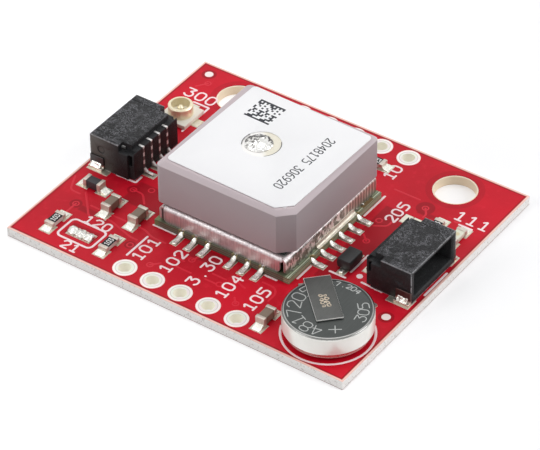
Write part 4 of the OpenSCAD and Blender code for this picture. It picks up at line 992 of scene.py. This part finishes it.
def roundedCorners(points, radius):
    if radius <= 0 or len(points) < 3:
        return points
    result = [points[0]]
    for before, here, after in zip(points, points[1:], points[2:]):
        here = Vector(here)
        inward, outward = Vector(before) - here, Vector(after) - here
        cutBack = min(radius, inward.length / 2, outward.length / 2)
        start, end = here + inward.normalized() * cutBack, here + outward.normalized() * cutBack
        for step in (0, 0.25, 0.5, 0.75, 1):
            result.append(tuple(start * (1 - step) ** 2 + here * 2 * step * (1 - step) + end * step ** 2))
    result.append(points[-1])
    return result


def stroke(points, width, z, lift, corner=0.0):
    # a flat rounded line, modelled as a curve with tapered ends and made a mesh
    line = roundedCorners([tuple(point) for point in points], corner)
    dropPick()
    bpy.ops.curve.primitive_nurbs_path_add(location=(0, 0, z * mm))
    item = bpy.context.object
    item.data.splines.clear()
    spline = item.data.splines.new("POLY")
    half = width / 2
    closed = (Vector(line[0]) - Vector(line[-1])).length < 0.001
    if closed:
        line = line[:-1]
        radii = [1.0] * len(line)
    else:
        first, second = Vector(line[0]), Vector(line[1])
        last, previous = Vector(line[-1]), Vector(line[-2])
        back, ahead = (first - second).normalized() * half, (last - previous).normalized() * half
        radii = [0.05, 0.53, 0.87] + [1.0] * len(line) + [0.87, 0.53, 0.05]
        line = [tuple(first + back * s) for s in (1.0, 0.85, 0.5)] + line + [tuple(last + ahead * s) for s in (0.5, 0.85, 1.0)]
    spline.points.add(len(line) - 1)
    for point, (x, y), radius in zip(spline.points, line, radii):
        point.co = (x * mm, y * mm, 0, 1)
        point.radius = radius
    spline.use_cyclic_u = closed
    item.data.dimensions = "3D"
    item.data.twist_mode = "Z_UP"
    item.data.bevel_depth = half * mm
    item.data.bevel_resolution = 2
    item.data.use_fill_caps = True
    pick(item)
    bpy.ops.object.convert(target="MESH")
    item = bpy.context.object
    item.scale = (1, 1, lift / half)
    return settle(item)


digitStrokes = {
    "0": [[(0.25, 0), (0, 0.3), (0, 1.2), (0.25, 1.5), (0.75, 1.5), (1, 1.2), (1, 0.3), (0.75, 0), (0.25, 0)]],
    "1": [[(0.2, 1.2), (0.55, 1.5), (0.55, 0)], [(0.2, 0), (0.9, 0)]],
    "2": [[(0, 1.2), (0.25, 1.5), (0.75, 1.5), (1, 1.25), (1, 0.95), (0, 0), (1, 0)]],
    "3": [[(0, 1.5), (1, 1.5), (0.45, 0.9), (0.75, 0.9), (1, 0.65), (1, 0.25), (0.75, 0), (0.25, 0), (0, 0.25)]],
    "4": [[(0.8, 0), (0.8, 1.5), (0, 0.5), (1, 0.5)]],
    "5": [[(1, 1.5), (0, 1.5), (0, 0.9), (0.7, 0.9), (1, 0.65), (1, 0.25), (0.75, 0), (0, 0)]],
    "6": [[(0.9, 1.5), (0.5, 1.5), (0, 0.9), (0, 0.25), (0.25, 0), (0.75, 0), (1, 0.25), (1, 0.6), (0.75, 0.85), (0, 0.85)]],
    "7": [[(0, 1.5), (1, 1.5), (0.3, 0)]],
    "8": [[(0.25, 0.8), (0, 1.0), (0, 1.3), (0.25, 1.5), (0.75, 1.5), (1, 1.3), (1, 1.0), (0.75, 0.8), (0.25, 0.8)],
          [(0.25, 0.8), (0, 0.6), (0, 0.2), (0.25, 0), (0.75, 0), (1, 0.2), (1, 0.6), (0.75, 0.8)]],
    "9": [[(0.1, 0), (0.5, 0), (1, 0.6), (1, 1.25), (0.75, 1.5), (0.25, 1.5), (0, 1.25), (0, 0.9), (0.25, 0.65), (1, 0.65)]],
    "+": [[(0.5, 0.15), (0.5, 1.35)], [(-0.1, 0.75), (1.1, 0.75)]],
    ".": [[(0.5, 0.0), (0.5, 0.05)]],
}


def turned(x, y, angle):
    return (x * math.cos(angle) - y * math.sin(angle), x * math.sin(angle) + y * math.cos(angle))


def numberStrokes(text, place, height, turn=0.0, pitch=None, wide=0.7):
    # strokes of a number; place is its lower left corner before it is turned
    pitch = pitch or height * (wide + 0.33)
    angle = math.radians(turn)
    lines = []
    for index, sign in enumerate(text):
        for path in digitStrokes.get(sign, []):
            moved = [turned(index * pitch + x * height * wide, y * height / 1.5, angle) for x, y in path]
            lines.append([(place[0] + x, place[1] + y) for x, y in moved])
    return lines


def arcNumber(text, centre, radius, start, step, height, outward=True):
    # digits standing on an arc, clockwise with their tops outward, or the other way round
    lines = []
    for index, sign in enumerate(text):
        angle = math.radians(start - index * step if outward else start + index * step)
        turn = math.degrees(angle) + (-90 if outward else 90)
        foot = turned(-0.31 * height, -0.5 * height, math.radians(turn))
        place = (centre[0] + radius * math.cos(angle) + foot[0], centre[1] + radius * math.sin(angle) + foot[1])
        lines += numberStrokes(sign, place, height, turn)
    return lines


def arcPoints(centre, radius, start, end, steps=24):
    return [(centre[0] + radius * math.cos(math.radians(start + (end - start) * i / steps)),
             centre[1] + radius * math.sin(math.radians(start + (end - start) * i / steps))) for i in range(steps + 1)]


def printInk(name, lines, paint, z, width, lift, corner=0.1):
    parts = [stroke(line, width, z, lift, corner) for line in lines]
    return finishPiece(joined(name, parts), name, paint, angle=60)


def boxLine(low, high, radius):
    # a closed outline with round corners
    (left, front), (right, back) = low, high
    corners = [(right - radius, front + radius, -90), (right - radius, back - radius, 0),
               (left + radius, back - radius, 90), (left + radius, front + radius, 180)]
    line = []
    for x, y, start in corners:
        line += arcPoints((x, y), radius, start, start + 90, 6)
    return line + [line[0]]


silkLines = [
    [(-12.26, -2.93), (-10.48, -2.91), (-10.51, -2.13)],
    [(10.32, -2.90), (12.11, -2.98)],
    [(14.93, -1.5), (14.93, 1.5)],
    [(-6.3, -6.2), (-4.3, -6.2)],
    [(4.0, -6.25), (5.0, -6.25)],
    [(6.17, -5.2), (6.17, -3.5)],
    [(6.17, 3.65), (6.17, 6.45)],
    [(9.0, -2.35), (9.0, -0.1)],
    [(7.65, -3.15), (9.0, -3.15)],
    [(-12.8, 7.85), (-11.35, 7.85), (-11.35, 4.3)],
    [(12.65, 6.8), (13.75, 6.8)],
    [(-5.85, -10.15), (-5.85, -7.6)],
    boxLine((-11.75, -11.2), (-8.55, -8.95), 0.4),
    arcPoints((11.4, -8.9), 3.47, 46, -158),
]
silkNumbers = [
    # text, lower left corner, height, turn
    ("101", (-4.65, -10.1), 0.92, 90), ("102", (-2.12, -10.1), 0.92, 90), ("3.30", (0.43, -10.1), 0.92, 90),
    ("104", (2.98, -10.1), 0.92, 90), ("105", (5.5, -10.1), 0.92, 90), ("10", (5.5, 8.45), 0.92, 90),
    ("205", (8.45, 4.2), 0.85, 90), ("120", (-10.97, -8.87), 0.82, 0), ("21", (-10.65, -12.15), 0.82, 0),
    ("111", (11.85, 7.2), 1.02, 0), ("300", (-14.15, 8.2), 1.0, 0),
]
allDigits = [line for text, place, height, turn in silkNumbers for line in numberStrokes(text, place, height, turn)]
for piece, lines, width in (("printedLines", silkLines, silkValues["line"]), ("printedNumbers", allDigits, silkValues["digit"])):
    printInk(piece, lines, silkPaint, boardTop, width, silkValues["lift"], silkValues["corner"])
printInk("socketDots", [[(9.8, -2.4), (9.82, -2.42)]], silkPaint, boardTop, 0.5, 0.014)

# copper that shows through the mask: tracks, and rings around covered vias
trackValues = {"width": 0.17, "lift": 0.007, "corner": 0.35, "ring": 0.24, "ringWidth": 0.12}
tracks = [
    [(-14.8, -4.9), (-14.1, -6.4), (-13.2, -6.4)],
    [(-12.9, -6.0), (-10.95, -8.2), (-9.4, -7.6), (-6.9, -8.35), (-6.3, -8.35)],
    [(-11.6, -7.05), (-6.5, -7.05), (-5.6, -7.45), (-4.3, -7.45)],
    [(-5.5, -8.4), (-4.75, -8.4)], [(-2.95, -8.35), (-1.9, -8.35)], [(0.7, -8.3), (1.9, -8.3)],
    [(-5.5, -9.15), (-4.7, -9.15)], [(-2.0, -9.15), (-0.7, -9.15)], [(0.6, -9.1), (1.6, -9.1)],
    [(-3.75, -10.1), (-3.2, -9.5)], [(4.05, -10.1), (3.6, -9.6)], [(-1.5, -7.9), (-1.32, -7.4)],
    [(4.3, -7.0), (5.35, -7.0), (5.85, -7.5), (5.85, -8.5)],
    [(6.9, -5.0), (7.0, -7.3)], [(2.34, -7.4), (2.34, -7.9), (3.6, -8.3)],
    [(7.4, 3.05), (8.3, 3.6), (8.3, 4.2)], [(7.3, 1.83), (7.95, 1.25)], [(7.3, -0.6), (7.7, -0.2)],
    [(9.5, 7.0), (9.95, 6.4), (9.95, 6.0)], [(-13.3, 10.4), (-13.9, 9.6)], [(-12.7, -7.5), (-12.7, -9.0)],
    [(-10.1, -3.7), (-9.2, -3.7), (-8.4, -4.6)], [(12.9, 6.9), (12.2, 6.9)],
    [(6.35, 7.6), (8.6, 7.6)], [(8.7, -5.0), (8.2, -5.6)],
]
vias = [(-12.7, -7.5), (-6.35, -9.1), (-10.1, -3.7), (-3.75, -10.1), (4.05, -10.1), (1.8, -9.0), (-1.5, -7.9), (7.95, 1.25),
        (7.4, 3.8), (9.5, 7.0), (-13.3, 10.4), (8.2, -5.6), (-8.9, -3.0)]
printInk("coveredTracks", tracks, tracePaint, boardTop, trackValues["width"], trackValues["lift"],
         trackValues["corner"])
printInk("coveredVias", [arcPoints(place, trackValues["ring"], 0, 360, 16) for place in vias], tracePaint,
         boardTop, trackValues["ringWidth"], trackValues["lift"], 0)

# marks on the label: a row of digits and a block pattern
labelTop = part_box("patch_label")[1].z / mm
markValues = {"turn": -1.3, "row": "2048175 306920", "rowPlace": (3.02, 3.35), "rowHeight": 0.74, "rowPitch": 0.505,
              "blockCentre": (-2.7, 3.33), "blockSide": 2.3, "cells": 14, "lift": 0.006, "hole": (-0.66, 0)}


def labelMarks(values):
    lines = numberStrokes(values["row"], values["rowPlace"], values["rowHeight"], values["turn"] - 90,
                          values["rowPitch"], 0.46)
    printInk("labelDigits", lines, labelInkPaint, labelTop, 0.095, values["lift"], 0.06)
    printInk("labelHoleShade", [arcPoints(values["hole"], 1.5, -48, 42), arcPoints(values["hole"], 1.5, 160, 215)],
             labelInkPaint, labelTop, 0.05, values["lift"])
    side, cells = values["blockSide"], values["cells"]
    dropPick()
    bpy.ops.mesh.primitive_grid_add(x_subdivisions=cells, y_subdivisions=cells, size=side * mm)
    block = bpy.context.object

    def blank(place, normal):
        column, row = (int((value / side + 0.5) * cells) for value in (place.x, place.y))
        return (column * column + 5 * row + 3 * column * row + row // 3) % 7 > 2 and 0 < row < cells - 1

    pickFaces(block, blank)
    bpy.ops.mesh.delete(type="FACE")
    leaveEdit()
    modifier(block, "SOLIDIFY", thickness=values["lift"] * mm, offset=1)
    block.rotation_euler = (0, 0, math.radians(values["turn"]))
    block.location = (values["blockCentre"][0] * mm, values["blockCentre"][1] * mm, labelTop * mm)
    finishPiece(settle(block), "labelBlocks", labelInkPaint, angle=20)


labelMarks(markValues)

# numbers cut into the cell's face, the weld marks on its tab and the codes on the resistors
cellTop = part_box("cell_can")[1].z / mm - 0.04
cellMarks = arcNumber("7.204", cellValues["centre"], 2.86, 110, 8.5, 0.46)
cellMarks += arcNumber("305", cellValues["centre"], 2.55, 9, 16, 0.8, False)
cellMarks += arcNumber("4817205", cellValues["centre"], 2.5, -74, 20.5, 1.0)
cellMarks += numberStrokes("+", (13.03, -11.04), 0.95, 36, wide=0.8)
printInk("cellNumbers", cellMarks, engravePaint, cellTop, 0.08, 0.005, 0.08)

weldValues = {"centre": (10.80, -8.44), "turn": -44, "rows": 4, "columns": 2, "pitch": (0.38, 0.38), "size": 0.27,
              "height": 0.05}


def weldDimples(values):
    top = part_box("cell_upper_tab")[1].z / mm
    dimples = []
    for row in range(values["rows"]):
        for column in range(values["columns"]):
            x = (row - (values["rows"] - 1) / 2) * values["pitch"][0] + dice.uniform(-0.05, 0.05)
            y = (column - (values["columns"] - 1) / 2) * values["pitch"][1] + dice.uniform(-0.05, 0.05)
            shift = turned(x, y, math.radians(values["turn"]))
            dropPick()
            bpy.ops.mesh.primitive_torus_add(major_segments=14, minor_segments=6, major_radius=values["size"] / 2 * mm,
                                             minor_radius=values["size"] / 5 * mm,
                                             location=((values["centre"][0] + shift[0]) * mm,
                                                       (values["centre"][1] + shift[1]) * mm, top * mm))
            ring = bpy.context.object
            ring.scale = (dice.uniform(0.6, 1.2), dice.uniform(0.6, 1.2), values["height"] / values["size"])
            dimples.append(settle(ring))
    whole = lumpy(joined("weldDimples", dimples), 0.12, 0.07)
    return finishPiece(whole, "weldDimples", weldPaint, angle=80)


weldDimples(weldValues)

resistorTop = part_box("resistor_front_left")[1].z / mm
chipMarks = []
for name, turn in (("resistor_front_left", 90), ("resistor_front_right", 90), ("resistor_right", 90), ("resistor_back", 0)):
    low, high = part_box(name)
    middle = Vector((low.x + high.x, low.y + high.y)) / 2 / mm
    foot = turned(-0.36, -0.2, math.radians(turn))
    chipMarks += numberStrokes("103", (middle.x + foot[0], middle.y + foot[1]), 0.4, turn, 0.28, 0.5)
printInk("resistorCodes", chipMarks, chipInkPaint, resistorTop, 0.065, 0.006, 0.04)
print("printed and cut marks are made")
